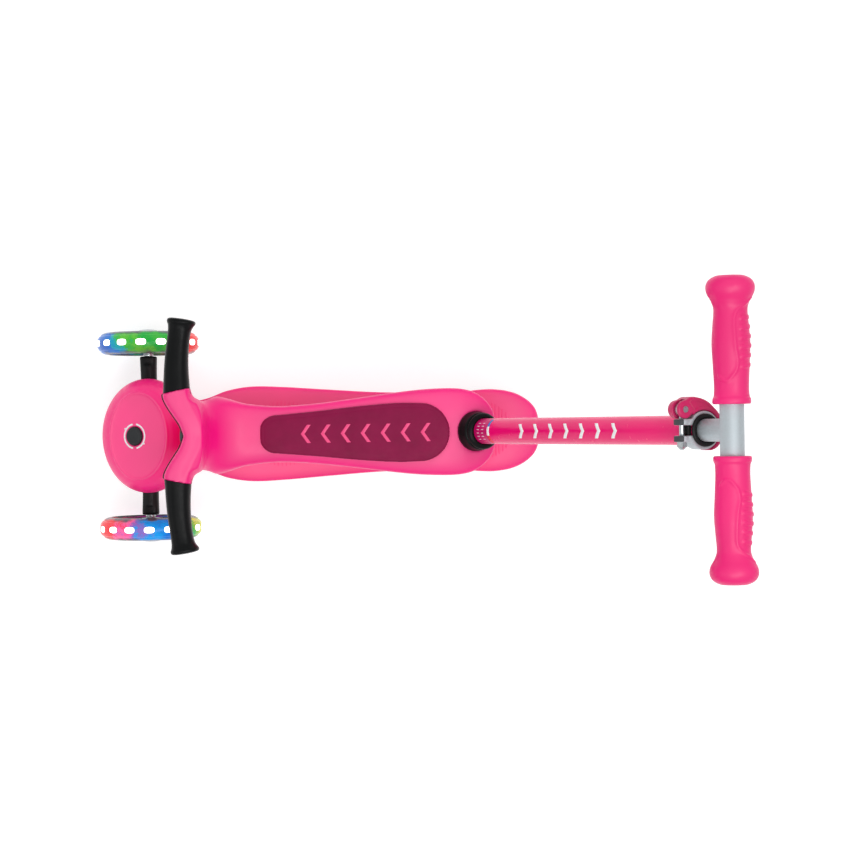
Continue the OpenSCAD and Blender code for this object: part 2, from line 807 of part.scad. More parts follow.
module seat_screws() {
    color(steel) for (p = seat_screw_spots) translate([p[0], p[1], 183.5]) {
        cylinder(h = 2.1, r = 3.4);
        translate([0, 0, 2]) cylinder(h = 16, r = 1.6);
    }
}

module seat_pad() {
    color(plum) translate([0, 0, seat_top - pad_sink])
        linear_extrude(pad_sink + pad_t) pad_shape();
}

module front_post() {
    color(black) translate([post_x, 0, 0]) {
        translate([0, 0, 62]) cylinder(h = 68, r = post_d / 2);
        translate([0, 0, 60.5]) cylinder(h = 1.6, r1 = post_d / 2 - 1.5, r2 = post_d / 2);
    }
}

// Places along the push bar, measured down from its cross tube
tube_top = -40;
tube_end = -542;
collar_base = -449;
collar_r = 22;
bar_socket_end = 546;

module bar_socket() {
    // lining that guides the push bar's tube through the saddle and the leg
    color(black) on_bar(-bar_socket_end) difference() {
        cylinder(h = bar_socket_end + collar_base, r = bar_socket_r);
        translate([0, 0, 3]) cylinder(h = 120, r = outer_tube_d / 2 + slide_gap);
    }
}

module base_collar() {
    // stepped rubber collar where the push bar enters the seat
    color(black) on_bar(collar_base) difference() {
        rotate_extrude() polygon([
            [13, 0.1], [collar_r, 0.1], [collar_r, 5], [20.9, 15], [20.2, 15.8], [19, 16], [19, 17.2],
            [20, 17.6], [20.2, 19], [19.4, 20.6], [17.5, 21.8], [15.2, 22.4], [13, 22.4]
        ]);
        cylinder(h = 80, r = outer_tube_d / 2 + slide_gap, center = true);
    }
}

// How far the grip's middle line has swept back at a distance out from the yoke
function swept(d) = 7 * pow(max(d - 16, 0) / 62, 2);
// [distance from the yoke, radius]
grip_radii = [
    [0, 14.4], [16, 13.6], [34, 12.9], [56, 12.4], [68, 12.8], [73, 14], [76, 15], [77.6, 14.2], [78, 12]
];
bar_core_r = 8;

module handle_grip(side) {
    grip_len = handle_width / 2 - yoke_half;
    rings = [for (d = concat(steps(0.2, 66, 7), [71, 73.5, 76, 77.4, 78]))
        let (y = side * (yoke_half + d * grip_len / 78), r = at(grip_radii, d)[1])
        ring([yoke_x - swept(d), y, handle_z], [0, 0, r], [r, 0, 0], 2, 24)];
    color(black) moulded() difference() {
        loft(side > 0 ? rings : [for (i = [len(rings) - 1:-1:0]) rings[i]]);
        translate([yoke_x, side * (yoke_half + 28), handle_z])
            rotate([90, 0, 0]) cylinder(h = 62, r = bar_core_r / cos(7.5), center = true, $fn = 24);
    }
}

module handlebar_core() {
    color(black) {
        moulded() difference() {
            yoke(1.2);
            translate([150, -60, handle_z - 0.1]) cube([100, 120, 30]);
            // the pink column passes down behind the core
            column(0.05);
            release_pocket();
        }
        for (side = [-1, 1])
            translate([yoke_x, side * (yoke_half - 0.1 + 28), handle_z])
                rotate([90, 0, 0]) cylinder(h = 56, r = bar_core_r, center = true);
    }
}

release_at = [215.8, 0, 271.5];
module release_pocket() {
    translate(release_at - [14, 10, 4.4]) cube([34, 20, 8.8]);
}

module release_button() {
    // a bowed bar under the nose
    color("#3b3e41") translate(release_at) intersection() {
        translate([-12, 0, -4]) linear_extrude(8) difference() {
            circle(r = 16);
            translate([-30, -20]) square([34, 40]);
        }
        translate([-10, -9.6, -5]) cube([20, 19.2, 10]);
    }
}

// ---------------------------------------------------------------- push bar

module outer_tube() {
    color(pink) on_bar() difference() {
        translate([0, 0, tube_end]) cylinder(h = tube_top - tube_end, r = outer_tube_d / 2);
        translate([0, 0, tube_end - 1]) cylinder(h = 600, r = bush_r);
        // slot that lets the clamp close on the stem
        translate([0, -1.2, tube_top - 26]) cube([30, 2.4, 40]);
    }
}

bush_r = 12.3;
module tube_bush() {
    color(black) on_bar(tube_top) difference() {
        union() {
            translate([0, 0, -35]) cylinder(h = 35.1, r = bush_r);
            cylinder(h = 3, r = 15.4);
        }
        translate([0, 0, -40]) cylinder(h = 60, r = stem_d / 2 + slide_gap);
    }
}

clamp_h = 14;
clamp_bolt_x = 21;
lever_axis = [clamp_bolt_x, -19.5];
clamp_mid = tube_top - clamp_h / 2;

// Frame of the clamp's bolt, Z towards the nut
module on_clamp_bolt() {
    on_bar(clamp_mid) translate([clamp_bolt_x, 0, 0]) rotate([-90, 0, 0]) children();
}

module clamp_ring() {
    color(steel) on_bar(clamp_mid) difference() {
        union() {
            cylinder(h = clamp_h, r = 18, center = true);
            for (y = [-10.7, 4.7]) translate([0, y, 0]) {
                translate([clamp_bolt_x, 6, 0]) rotate([90, 0, 0]) cylinder(h = 6, r = clamp_h / 2);
                translate([13, 0, -clamp_h / 2]) cube([clamp_bolt_x - 13, 6, clamp_h]);
            }
        }
        cylinder(h = 30, r = outer_tube_d / 2, center = true);
        translate([10, -4.7, -20]) cube([30, 9.4, 40]);
        translate([clamp_bolt_x, 20, 0]) rotate([90, 0, 0]) cylinder(h = 40, r = 2.6);
    }
}

module clamp_bolt() {
    // eye bolt whose eye holds the lever's pin
    color(steel) difference() {
        union() {
            on_clamp_bolt() translate([0, 0, -19.5]) cylinder(h = 35, r = 2.5);
            on_bar(clamp_mid) translate(lever_axis) cylinder(h = 5.6, r = 6, center = true);
        }
        on_bar(clamp_mid) translate(lever_axis) cylinder(h = 12, r = 3, center = true);
    }
}

module clamp_nut() {
    color(steel) on_clamp_bolt() difference() {
        union() {
            translate([0, 0, 10.7]) cylinder(h = 4.6, r = 5.2, $fn = 6);
            translate([0, 0, 14]) sphere(r = 4.2);
        }
        translate([0, 0, 5]) cylinder(h = 10.5, r = 2.5);
    }
}

lever_gap = 18.4;      // inner radius of the closed lever about the tube
// [angle round the tube, outer radius]
lever_outer = [
    [52, 33.5], [63, 34.4], [80, 30.8], [103, 26.9], [122, 24.4], [180, 23.4], [223, 22.6], [247, 20.6]
];

// Beyond the far side of the ring the inner face follows a circle about the lever's axis
function lever_inner(t) =
    let (
        across = [cos(t), -sin(t)] * lever_axis,
        reach = norm(lever_axis) + lever_gap
    )
    t < 223 ? lever_gap : across + sqrt(across ^ 2 - norm(lever_axis) ^ 2 + reach ^ 2);

module clamp_lever() {
    color(berry) on_bar(clamp_mid) difference() {
        translate([0, 0, -11]) {
            translate(lever_axis) cylinder(h = 18, r = 8.5);
            linear_extrude(18) polygon(concat(
                [for (t = steps(52, 247, 26)) [cos(t), -sin(t)] * at(lever_outer, t)[1]],
                [for (t = steps(247, 52, 26)) [cos(t), -sin(t)] * lever_inner(t)]
            ));
        }
        translate(lever_axis) cylinder(h = 60, r = 3 + slide_gap, center = true);
        // slot for the bolt's eye and shank
        translate(lever_axis) cylinder(h = 6.4, r = 9.2, center = true);
        translate([lever_axis[0] - 4, lever_axis[1], -3.2]) cube([20, 30, 6.4]);
    }
}

module lever_pin() {
    color(steel) on_bar(clamp_mid)
        translate([lever_axis[0], lever_axis[1], -10]) cylinder(h = 16.4, r = 3);
}

stem_len = 200;
tube_wall = 1.5;
module stem_tube() {
    // telescopic stem with the cross tube welded on top
    color(steel) on_bar() difference() {
        union() {
            translate([0, 0, -stem_len]) cylinder(h = stem_len, r = stem_d / 2);
            rotate([90, 0, 0]) cylinder(h = bar_width - 12, r = cross_tube_d / 2, center = true);
        }
        translate([0, 0, -stem_len - 1]) cylinder(h = stem_len - 12, r = stem_d / 2 - tube_wall);
        rotate([90, 0, 0]) cylinder(h = bar_width, r = cross_tube_d / 2 - tube_wall, center = true);
    }
}

module stem_guide() {
    // plug that guides the stem's lower end inside the tube
    color(black) on_bar(-stem_len - 10) {
        cylinder(h = 10, r = bush_r - slide_gap);
        cylinder(h = 22, r = stem_d / 2 - tube_wall);
    }
}

// [distance in from the outer end, radius] of a push-bar grip
bar_grip_len = 116.5;
bar_grip_radii = [
    [0, 13], [2, 17.4], [5, 20.6], [10, bulb_d / 2], [16, 21.4], [23, 17.6], [30, 15.5], [44, 16.4],
    [61, 17.5], [80, 16.7], [100, 15.8], [109, 16.2], [112, 17.4], [bar_grip_len, 17.4]
];

module bar_grip(side) {
    depths = concat([0, 1, 2, 3.5], steps(5, 30, 7), steps(36, 106, 8), [109, 112, bar_grip_len]);
    tube_r = cross_tube_d / 2;
    color(pink) on_bar() translate([0, side * bar_width / 2, 0]) rotate([90 * side, 0, 0])
        rotate_extrude() polygon(concat(
            [[0, 7], [0, 0]],
            [for (d = depths) [at(bar_grip_radii, d)[1], d]],
            [[tube_r, bar_grip_len], [tube_r, 6], [tube_r - tube_wall, 6], [0, 6]]
        ));
}

// ---------------------------------------------------------------- show

deck();
rear_fork();
front_socket();
rear_socket();
hub_cover();
cover_screws();
lock_mark();
lock_button();
lock_pin();
lock_spring();
kingpin_mount();
kingpin();
kingpin_nut();
steering_bumpers();
truck_beam();
truck_bushes();
front_axles();
front_tyre(1);  // left_tyre
front_core(1);  // left_core
wheel_lights(1);  // left_lights
front_bearings(1);  // left_bearings
front_hub_cap(1);  // left_hub_cap
front_tyre(-1);  // right_tyre
front_core(-1);  // right_core
wheel_lights(-1);  // right_lights
front_bearings(-1);  // right_bearings
front_hub_cap(-1);  // right_hub_cap
rear_tyre();
rear_core();
rear_bearings();
rear_axle_bolt();
rear_axle_nut();
rear_brake();
brake_plate();
brake_pin();
brake_spring();
seat_shell();
seat_base();
seat_pad();
seat_screws();
front_post();
bar_socket();
base_collar();
handlebar_core();
handle_grip(1);  // left_handle_grip
handle_grip(-1);  // right_handle_grip
release_button();
outer_tube();
tube_bush();
clamp_ring();
clamp_bolt();
clamp_nut();
clamp_lever();
lever_pin();
stem_tube();
stem_guide();
bar_grip(1);  // left_bar_grip
bar_grip(-1);  // right_bar_grip
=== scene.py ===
"""The looks of a three-wheel kick scooter in its seated ride-on form, with a push bar.

Shapes are worked out in millimetres in the row's frame: X forward, Y to the rider's left, Z up.
Moulded bodies are fields, whose zero level becomes a quad mesh; turned and swept ones are lofts.
"""

import json
import math

import bmesh
import bpy
import numpy as np
from mathutils import Matrix, Vector


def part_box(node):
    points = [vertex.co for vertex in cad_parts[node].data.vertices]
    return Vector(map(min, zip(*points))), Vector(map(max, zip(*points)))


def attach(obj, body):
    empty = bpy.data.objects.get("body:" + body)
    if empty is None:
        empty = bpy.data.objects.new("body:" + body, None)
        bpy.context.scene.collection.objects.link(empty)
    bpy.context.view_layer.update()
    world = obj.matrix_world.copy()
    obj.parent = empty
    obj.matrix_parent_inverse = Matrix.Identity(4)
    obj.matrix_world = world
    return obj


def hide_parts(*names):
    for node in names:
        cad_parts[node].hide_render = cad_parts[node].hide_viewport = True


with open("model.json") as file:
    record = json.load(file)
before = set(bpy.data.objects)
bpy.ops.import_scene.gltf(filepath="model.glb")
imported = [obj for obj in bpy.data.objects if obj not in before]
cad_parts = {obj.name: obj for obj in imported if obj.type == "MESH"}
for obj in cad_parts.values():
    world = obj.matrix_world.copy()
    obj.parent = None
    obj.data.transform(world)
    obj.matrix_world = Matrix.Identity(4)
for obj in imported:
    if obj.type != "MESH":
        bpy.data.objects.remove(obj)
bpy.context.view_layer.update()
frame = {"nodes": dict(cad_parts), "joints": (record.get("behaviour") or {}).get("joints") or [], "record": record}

MM = 0.001


# ---------------------------------------------------------------- places, from the frame

def extent(node):
    """Lowest and highest corner of a CAD node, in millimetres."""
    low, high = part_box(node)
    return np.array(low) / MM, np.array(high) / MM


def middle(node):
    low, high = extent(node)
    return (low + high) / 2


def size(node):
    low, high = extent(node)
    return high - low


joints = {joint["name"]: joint for joint in frame["joints"]}
slot_of = {part["node"]: part["material_slot"] for part in frame["record"]["subparts"]}

WHEEL_X, TRACK_HALF, WHEEL_Z = middle("left_core")
WHEEL_R = size("left_tyre")[2] / 2
WHEEL_W = size("left_tyre")[1]
REAR_X, _, REAR_Z = middle("rear_core")
REAR_R = size("rear_tyre")[2] / 2
REAR_W = size("rear_tyre")[1]
BAR_X, _, BAR_Z = middle("left_bar_grip")
BAR_END = extent("left_bar_grip")[1][1]
LEAN = math.acos(joints["bar_lift"]["axis"][2])
KINGPIN = np.array(joints["steer"]["pos_m"]) / MM
KINGPIN_AXIS = np.array(joints["steer"]["axis"])
BRAKE_PIVOT = np.array(joints["brake_press"]["pos_m"]) / MM
POST_X = middle("front_post")[0]
PAD_TOP = extent("seat_pad")[1][2]
HANDLE_Z = middle("left_handle_grip")[2]
HANDLE_END = extent("left_handle_grip")[1][1]
TUBE_R = size("outer_tube")[1] / 2
SOCKET_R = size("bar_socket")[1] / 2
COLLAR_R = size("base_collar")[1] / 2
SIDES = ((1, "left"), (-1, "right"))


def on_bar(points):
    """From the push bar's own frame, Z up the tube and X towards the rider, to the row's."""
    x, y, z = np.moveaxis(np.asarray(points, float), -1, 0)
    c, s = math.cos(LEAN), math.sin(LEAN)
    return np.stack([BAR_X + c * x - s * z, y, BAR_Z + s * x + c * z], -1)


def on_bar_at(height):
    """Placer for points in the push bar's frame that start from a height along it."""
    return lambda points: on_bar(points + (0, 0, height))


def in_bar(x, y, z):
    """The push bar's own coordinates of points in the row's frame."""
    c, s = math.cos(LEAN), math.sin(LEAN)
    return c * (x - BAR_X) + s * (z - BAR_Z), y, c * (z - BAR_Z) - s * (x - BAR_X)


# ---------------------------------------------------------------- curves and fields

def read(rows, x):
    """Smooth curves through rows of [position, value, value ...], read at x: one array a value."""
    rows = np.array(rows, float)
    x = np.clip(x, rows[0, 0], rows[-1, 0])
    i = np.clip(np.searchsorted(rows[:, 0], x, side="right") - 1, 0, len(rows) - 2)
    before = np.maximum(np.arange(len(rows)) - 1, 0)
    after = np.minimum(np.arange(len(rows)) + 1, len(rows) - 1)
    slopes = (rows[after] - rows[before]) / (rows[after, :1] - rows[before, :1])
    h = (rows[i + 1, 0] - rows[i, 0])[..., None]
    t = (x - rows[i, 0])[..., None] / h
    value = (
        (2 * t**3 - 3 * t**2 + 1) * rows[i] + (3 * t**2 - 2 * t**3) * rows[i + 1]
        + (t**3 - 2 * t**2 + t) * h * slopes[i] + (t**3 - t**2) * h * slopes[i + 1]
    )
    return np.moveaxis(value, -1, 0)[1:]


def squircle(u, v, a, b, power):
    """Distance to a superellipse with half axes a and b; power 2 is an ellipse."""
    u, v = np.abs(u) / a, np.abs(v) / b
    g = np.maximum((u**power + v**power) ** (1 / power), 1e-3)
    slope = g ** (1 - power) * np.hypot(u ** (power - 1) / a, v ** (power - 1) / b)
    return (g - 1) / np.maximum(slope, 0.5 / np.maximum(a, b))


def join(a, b, r):
    """Two fields as one body, with a fillet of about r where they meet."""
    h = np.maximum(r - np.abs(a - b), 0)
    return np.minimum(a, b) - h * h / (4 * r)


def common(a, b, r=1.0):
    """What two fields share, with its edges rounded."""
    return -join(-a, -b, r)


def cut(a, b, r=1.0):
    """Field a with b taken out of it."""
    return common(a, -b, r)


def slab(value, low, high):
    return np.maximum(low - value, value - high)


def bell(value, width):
    """1 where the value is 0, falling away over about a width."""
    return np.exp(-((value / width) ** 2))


def block(x, y, z, low, high, r=1.0):
    """A box between two corners, with rounded edges."""
    sides = common(slab(x, low[0], high[0]), slab(y, low[1], high[1]), r)
    return common(sides, slab(z, low[2], high[2]), r)


def about_line(x, y, z, point, axis):
    """Distance from a line, and the place along it."""
    x, y, z = x - point[0], y - point[1], z - point[2]
    along = x * axis[0] + y * axis[1] + z * axis[2]
    return np.sqrt(np.maximum(x * x + y * y + z * z - along * along, 0)), along


def skin(field, low, high, step):
    """Quads round a field's zero level, one vertex for each cell that the surface crosses."""
    low = np.array(low, float) - 2 * step
    counts = np.ceil((np.array(high) + 2 * step - low) / step).astype(int)
    axes = [low[k] + step * np.arange(counts[k]) for k in range(3)]
    values = field(axes[0][:, None, None], axes[1][None, :, None], axes[2][None, None, :])
    values = np.broadcast_to(values, tuple(counts))
    unit = np.eye(3, dtype=int)
    quads, points = [], []
    for axis in range(3):
        near = values[tuple(slice(0, counts[k] - unit[axis][k]) for k in range(3))]
        far = values[tuple(slice(unit[axis][k], None) for k in range(3))]
        spot = np.argwhere((near < 0) != (far < 0))
        a, b = near[tuple(spot.T)], far[tuple(spot.T)]
        crossing = spot + unit[axis] * (a / (a - b))[:, None]
        u, v = unit[(axis + 1) % 3], unit[(axis + 2) % 3]
        around = np.stack([spot - u - v, spot - v, spot, spot - u], axis=1)
        around[a >= 0] = around[a >= 0][:, ::-1]
        quads.append(around)
        points.append(np.repeat(crossing[:, None], 4, axis=1))
    quads, points = np.concatenate(quads), np.concatenate(points).reshape(-1, 3)
    flat = np.ravel_multi_index(tuple(quads.reshape(-1, 3).T), tuple(counts))
    cells, index = np.unique(flat, return_inverse=True)
    share = np.bincount(index)
    place = np.stack([np.bincount(index, points[:, k]) / share for k in range(3)], 1)
    return low + place * step, index.reshape(-1, 4)


def relax(points, quads, rounds=2):
    """Evens out a quad mesh: each vertex moves towards its neighbours' middle, then back."""
    edges = np.concatenate([quads[:, [0, 1]], quads[:, [1, 2]], quads[:, [2, 3]], quads[:, [3, 0]]])
    count = np.bincount(edges.ravel(), minlength=len(points))[:, None]
    for weight in (0.5, -0.52) * rounds:
        total = np.zeros_like(points)
        for k in range(3):
            total[:, k] = np.bincount(edges[:, 0], points[edges[:, 1], k], len(points))
            total[:, k] += np.bincount(edges[:, 1], points[edges[:, 0], k], len(points))
        points = points + weight * (total / count - points)
    return points


# ---------------------------------------------------------------- lofts

def ring(centre, u, v, power=2.0, count=64):
    """A closed ring about centre, with half axes u and v."""
    p = 2 * np.pi * np.arange(count) / count
    c, s = np.cos(p), np.sin(p)
    c, s = np.sign(c) * np.abs(c) ** (2 / power), np.sign(s) * np.abs(s) ** (2 / power)
    return np.array(centre) + np.outer(c, u) + np.outer(s, v)


def loft(rings, closed=False):
    """Quads through rings that follow each other; the ends are capped, unless the last meets the first."""
    n, m = len(rings[0]), len(rings)
    points = np.concatenate(rings)
    faces = []
    for i in range(m if closed else m - 1):
        here, there = i * n, (i + 1) % m * n
        faces += [(here + j, here + (j + 1) % n, there + (j + 1) % n, there + j) for j in range(n)]
    if not closed:
        faces += [tuple(range(n)), tuple(range((m - 1) * n, m * n))]
    return points, faces


def turned(profile, place, count=96, closed=False):
    """A body of revolution: profile is rows of (radius, height), place maps (x, y, height) points."""
    angle = 2 * np.pi * np.arange(count) / count
    rings = [
        place(np.stack([r * np.cos(angle), r * np.sin(angle), np.full(count, h)], 1)) for r, h in profile
    ]
    return loft(rings, closed)


# how far a raised band reaches into the surface under it
SUNK = 0.3


def strip(path, side, normal, width, height, rounded=False):
    """A raised band along a path on a surface: flat for a print, rounded for a rib."""
    path, count = np.asarray(path, float), len(path)
    side = np.broadcast_to(side, path.shape)
    normal = np.broadcast_to(normal, path.shape)
    if rounded:
        turn = np.linspace(0, math.pi, 7)
        across, lift = np.cos(turn) * width / 2, np.sin(turn) * height
        from_end = np.minimum(np.arange(count), np.arange(count)[::-1])
        ends = np.minimum(1, np.sqrt(from_end / 3 + 0.1))
    else:
        across, lift = np.array([1, 0.97, -0.97, -1]) * width / 2, np.array([0.6, 1, 1, 0.6]) * height
        ends = np.ones(count)
    across = np.concatenate([across, across[[-1, 0]]])
    lift = np.concatenate([lift, [-SUNK, -SUNK]])
    rings = [
        path[i] + np.outer(across * ends[i], side[i]) + np.outer(lift * ends[i], normal[i])
        for i in range(count)
    ]
    return loft(rings)


def together(meshes):
    """Several meshes as one."""
    points, faces, start = [], [], 0
    for p, f in meshes:
        points.append(p)
        faces += [tuple(start + i for i in face) for face in f]
        start += len(p)
    return np.concatenate(points), faces


def piece(name, shape, body, slot, replaces=(), paint=None, outward=True):
    """A finished piece from points in millimetres and faces, in its slot's paint if not told another."""
    points, faces = shape
    mesh = bpy.data.meshes.new(name)
    mesh.from_pydata((np.asarray(points) * MM).tolist(), [], np.asarray(faces, dtype=object).tolist())
    if outward:
        work = bmesh.new()
        work.from_mesh(mesh)
        bmesh.ops.recalc_face_normals(work, faces=work.faces)
        work.to_mesh(mesh)
        work.free()
    mesh.shade_smooth()
    mesh.set_sharp_from_angle(angle=math.radians(50))
    mesh.materials.append(paint or paints[slot])
    obj = bpy.data.objects.new(name, mesh)
    bpy.context.scene.collection.objects.link(obj)
    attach(obj, body)
    if replaces:
        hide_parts(*replaces)
    return obj


def moulded(name, field, low, high, step, body, slot, replaces=(), paint=None, place=None):
    """A moulded piece from a field between two corners; place carries its points to the row's frame."""
    points, quads = skin(field, low, high, step)
    points = relax(points, quads)
    if place:
        points = place(points)
    return piece(name, (points, quads), body, slot, replaces, paint, outward=False)


# ---------------------------------------------------------------- materials

WHITE, BLACK = (1.0, 1.0, 1.0), (0.0, 0.0, 0.0)


def linear(code):
    """A colour written as six hexadecimal digits, as linear light."""
    values = [int(code[i:i + 2], 16) / 255 for i in (0, 2, 4)]
    return np.array([v / 12.92 if v <= 0.04045 else ((v + 0.055) / 1.055) ** 2.4 for v in values])


class Paint:
    """A material about one Principled shader, which takes its grain and wear step by step."""

    def __init__(self, name, roughness, metallic=0.0, shine=0.5):
        self.material = bpy.data.materials.new(name)
        self.material.use_nodes = True
        self.tree = self.material.node_tree
        self.shader = self.tree.nodes["Principled BSDF"]
        self.shader.inputs["Roughness"].default_value = roughness
        self.shader.inputs["Metallic"].default_value = metallic
        self.shader.inputs["Specular IOR Level"].default_value = shine
        coordinates = self.add("ShaderNodeTexCoord").outputs
        self.place, self.facing = coordinates["Object"], coordinates["Normal"]
        self.normal = None

    def add(self, kind, inputs=None, **settings):
        """A node; each of its inputs gets another node's output or a value."""
        node = self.tree.nodes.new(kind)
        for key, value in settings.items():
            setattr(node, key, value)
        for key, value in (inputs or {}).items():
            if isinstance(value, bpy.types.NodeSocket):
                self.tree.links.new(value, node.inputs[key])
            else:
                node.inputs[key].default_value = value
        return node

    def math(self, operation, a, b=0.0):
        return self.add("ShaderNodeMath", {0: a, 1: b}, operation=operation).outputs[0]

    def noise(self, scale, detail=3.0, stretch=(1, 1, 1), turn=(0, 0, 0)):
        """Noise with a feature size of about 1 / scale metres, from 0 to 1."""
        where = self.add(
            "ShaderNodeMapping", {"Vector": self.place, "Scale": stretch, "Rotation": turn}
        ).outputs[0]
        return self.add("ShaderNodeTexNoise", {"Vector": where, "Scale": scale, "Detail": detail}).outputs[0]

    def spread(self, value, low, high, to_low=0.0, to_high=1.0):
        """A value from one range carried to another."""
        return self.add("ShaderNodeMapRange", {
            "Value": value, "From Min": low, "From Max": high, "To Min": to_low, "To Max": to_high
        }).outputs[0]

    def mix(self, factor, a, b):
        """A colour between two, each another node's output or three numbers."""
        a, b = (v if isinstance(v, bpy.types.NodeSocket) else (*v, 1) for v in (a, b))
        return self.add("ShaderNodeMix", {"Factor": factor, 6: a, 7: b}, data_type="RGBA").outputs[2]

    def colour(self, value):
        self.tree.links.new(value, self.shader.inputs["Base Color"])

    def rough(self, value):
        self.tree.links.new(value, self.shader.inputs["Roughness"])

    def emit(self, value, strength):
        self.tree.links.new(value, self.shader.inputs["Emission Color"])
        self.shader.inputs["Emission Strength"].default_value = strength

    def bump(self, height, depth, strength):
        """Relief of depth metres, on top of what is there."""
        inputs = {"Height": height, "Distance": depth, "Strength": strength}
        if self.normal:
            inputs["Normal"] = self.normal
        self.normal = self.add("ShaderNodeBump", inputs).outputs[0]
        self.tree.links.new(self.normal, self.shader.inputs["Normal"])
        return self

    def edges(self):
        """How far the surface is an outer edge, from 0 to 1."""
        bend = self.add("ShaderNodeNewGeometry").outputs["Pointiness"]
        return self.spread(bend, 0.52, 0.62)


def plastic(name, code, roughness, grain, depth, edge_wear_and_highlight=0.25, painted_sheen=0.0, shine=0.5):
    """Injection-moulded plastic: spark grain, flow clouds, paler edges (rubbed wear with a painted edge
    highlight), and up-facing sides mixed towards white as a painted sheen.
    """
    base = linear(code)
    paint = Paint(name, roughness, shine=shine)
    clouds = paint.spread(paint.noise(14, 2), 0.35, 0.65)
    tone = paint.mix(clouds, base * 0.95, np.minimum(base * 1.03, 1))
    if painted_sheen:
        # painted sheen: up-facing sides mixed towards white, in place of the overhead light's reflection
        upwards = paint.add("ShaderNodeSeparateXYZ", {0: paint.facing}).outputs["Z"]
        tone = paint.mix(paint.spread(upwards, 0.6, 0.97, 0, painted_sheen), tone, WHITE)
    # paler outer edges: rubbed wear, and a painted highlight along them
    pale = base + (1 - base) * edge_wear_and_highlight * 0.25
    paint.colour(paint.mix(paint.math("MULTIPLY", paint.edges(), edge_wear_and_highlight), tone, pale))
    paint.rough(paint.spread(paint.noise(160, 5), 0.35, 0.75, roughness - 0.03, roughness + 0.07))
    return paint.bump(paint.noise(grain, 2), depth, 0.35).material


def rubber(name, code, roughness, shine):
    """Soft rubber: a dull skin with a pebbled grain and dusty hollows."""
    base = linear(code)
    paint = Paint(name, roughness, shine=shine)
    dust = paint.spread(paint.noise(60, 6), 0.45, 0.8, 0, 0.35)
    paint.colour(paint.mix(dust, base, base * 1.5 + 0.002))
    paint.rough(paint.spread(paint.noise(300, 3), 0.3, 0.7, roughness - 0.08, roughness + 0.08))
    return paint.bump(paint.noise(1100, 3), 0.00006, 0.4).material


def metal(name, code, roughness, stretch=(1, 1, 1), turn=(0, 0, 0)):
    """Metal with a drawn or brushed finish along one direction, and fine scratches."""
    base = linear(code)
    paint = Paint(name, roughness, metallic=1.0)
    brush = paint.noise(700, 4, stretch, turn)
    paint.colour(paint.mix(paint.spread(brush, 0.3, 0.7), base * 0.86, base))
    paint.rough(paint.spread(brush, 0.3, 0.7, roughness - 0.06, roughness + 0.1))
    paint.bump(brush, 0.00002, 0.3)
    return paint.bump(paint.noise(90, 6), 0.00002, 0.15).material


def glowing_tyre(name, centre, colours):
    """Clear polyurethane lit from inside: bands of colour round the wheel, smoky at the flanks."""
    paint = Paint(name, 0.25, shine=0.3)
    offset = paint.add("ShaderNodeVectorMath", {0: paint.place, 1: Vector(centre) * MM}, operation="SUBTRACT")
    axes = paint.add("ShaderNodeSeparateXYZ", {0: offset.outputs[0]}).outputs
    turn = paint.math("DIVIDE", paint.math("ARCTAN2", axes["Z"], axes["X"]), 2 * math.pi)
    blotch = paint.spread(paint.noise(55, 4), 0.3, 0.7, -0.05, 0.05)
    speckle = paint.spread(paint.noise(900, 1), 0.3, 0.7, -0.018, 0.018)
    share = paint.math("FRACT", paint.math("ADD", paint.math("ADD", turn, blotch), speckle))
    ramp = paint.add("ShaderNodeValToRGB", {"Fac": share})
    ramp.color_ramp.interpolation = "EASE"
    for i, (place, code) in enumerate(colours):
        # a new ramp has two stops of its own
        stop = ramp.color_ramp.elements[i] if i < 2 else ramp.color_ramp.elements.new(place)
        stop.position = place
        stop.color = (*linear(code), 1)
    flank = paint.math("ABSOLUTE", paint.math("DIVIDE", axes["Y"], WHEEL_W / 2 * MM))
    flank = paint.math("ADD", flank, paint.spread(paint.noise(70, 4), 0.3, 0.7, -0.16, 0.16))
    smoke = paint.spread(flank, 0.72, 0.95)
    paint.colour(paint.mix(smoke, ramp.outputs[0], linear("5c6166")))
    paint.emit(paint.mix(smoke, ramp.outputs[0], BLACK), 0.3)
    return paint.bump(paint.noise(500, 3), 0.00005, 0.35).material


def glow(name, code, strength):
    """A lamp's window: hottest in the middle of its cloudy lens."""
    paint = Paint(name, 0.25)
    paint.shader.inputs["Coat Weight"].default_value = 0.4
    cloud = paint.spread(paint.noise(420, 2), 0.3, 0.7)
    lit = paint.mix(cloud, linear(code) * 0.9, WHITE)
    paint.colour(lit)
    paint.emit(lit, strength)
    return paint.material


def printed(name, code, roughness=0.4):
    """Screen-printed ink, a little uneven and chipped towards its edges."""
    base = linear(code)
    paint = Paint(name, roughness)
    paint.colour(paint.mix(paint.spread(paint.noise(260, 5), 0.4, 0.75), base, base * 0.88))
    paint.rough(paint.spread(paint.noise(500, 3), 0.3, 0.7, roughness - 0.05, roughness + 0.1))
    return paint.bump(paint.noise(1500, 2), 0.00002, 0.4).material


def foam_pad(name, code):
    """Soft EVA skin: fine leather-like pebbling over slow dents, with a faint sheen."""
    base = linear(code)
    paint = Paint(name, 0.5, shine=0.13)
    cells = paint.add("ShaderNodeTexVoronoi", {"Vector": paint.place, "Scale": 900.0}, feature="F1")
    paint.colour(paint.mix(paint.spread(paint.noise(40, 4), 0.35, 0.7), base * 0.92, base * 1.08))
    paint.rough(paint.spread(paint.noise(220, 4), 0.3, 0.7, 0.44, 0.58))
    paint.bump(paint.noise(30, 2), 0.0006, 0.2)
    return paint.bump(cells.outputs["Distance"], 0.00008, 0.35).material


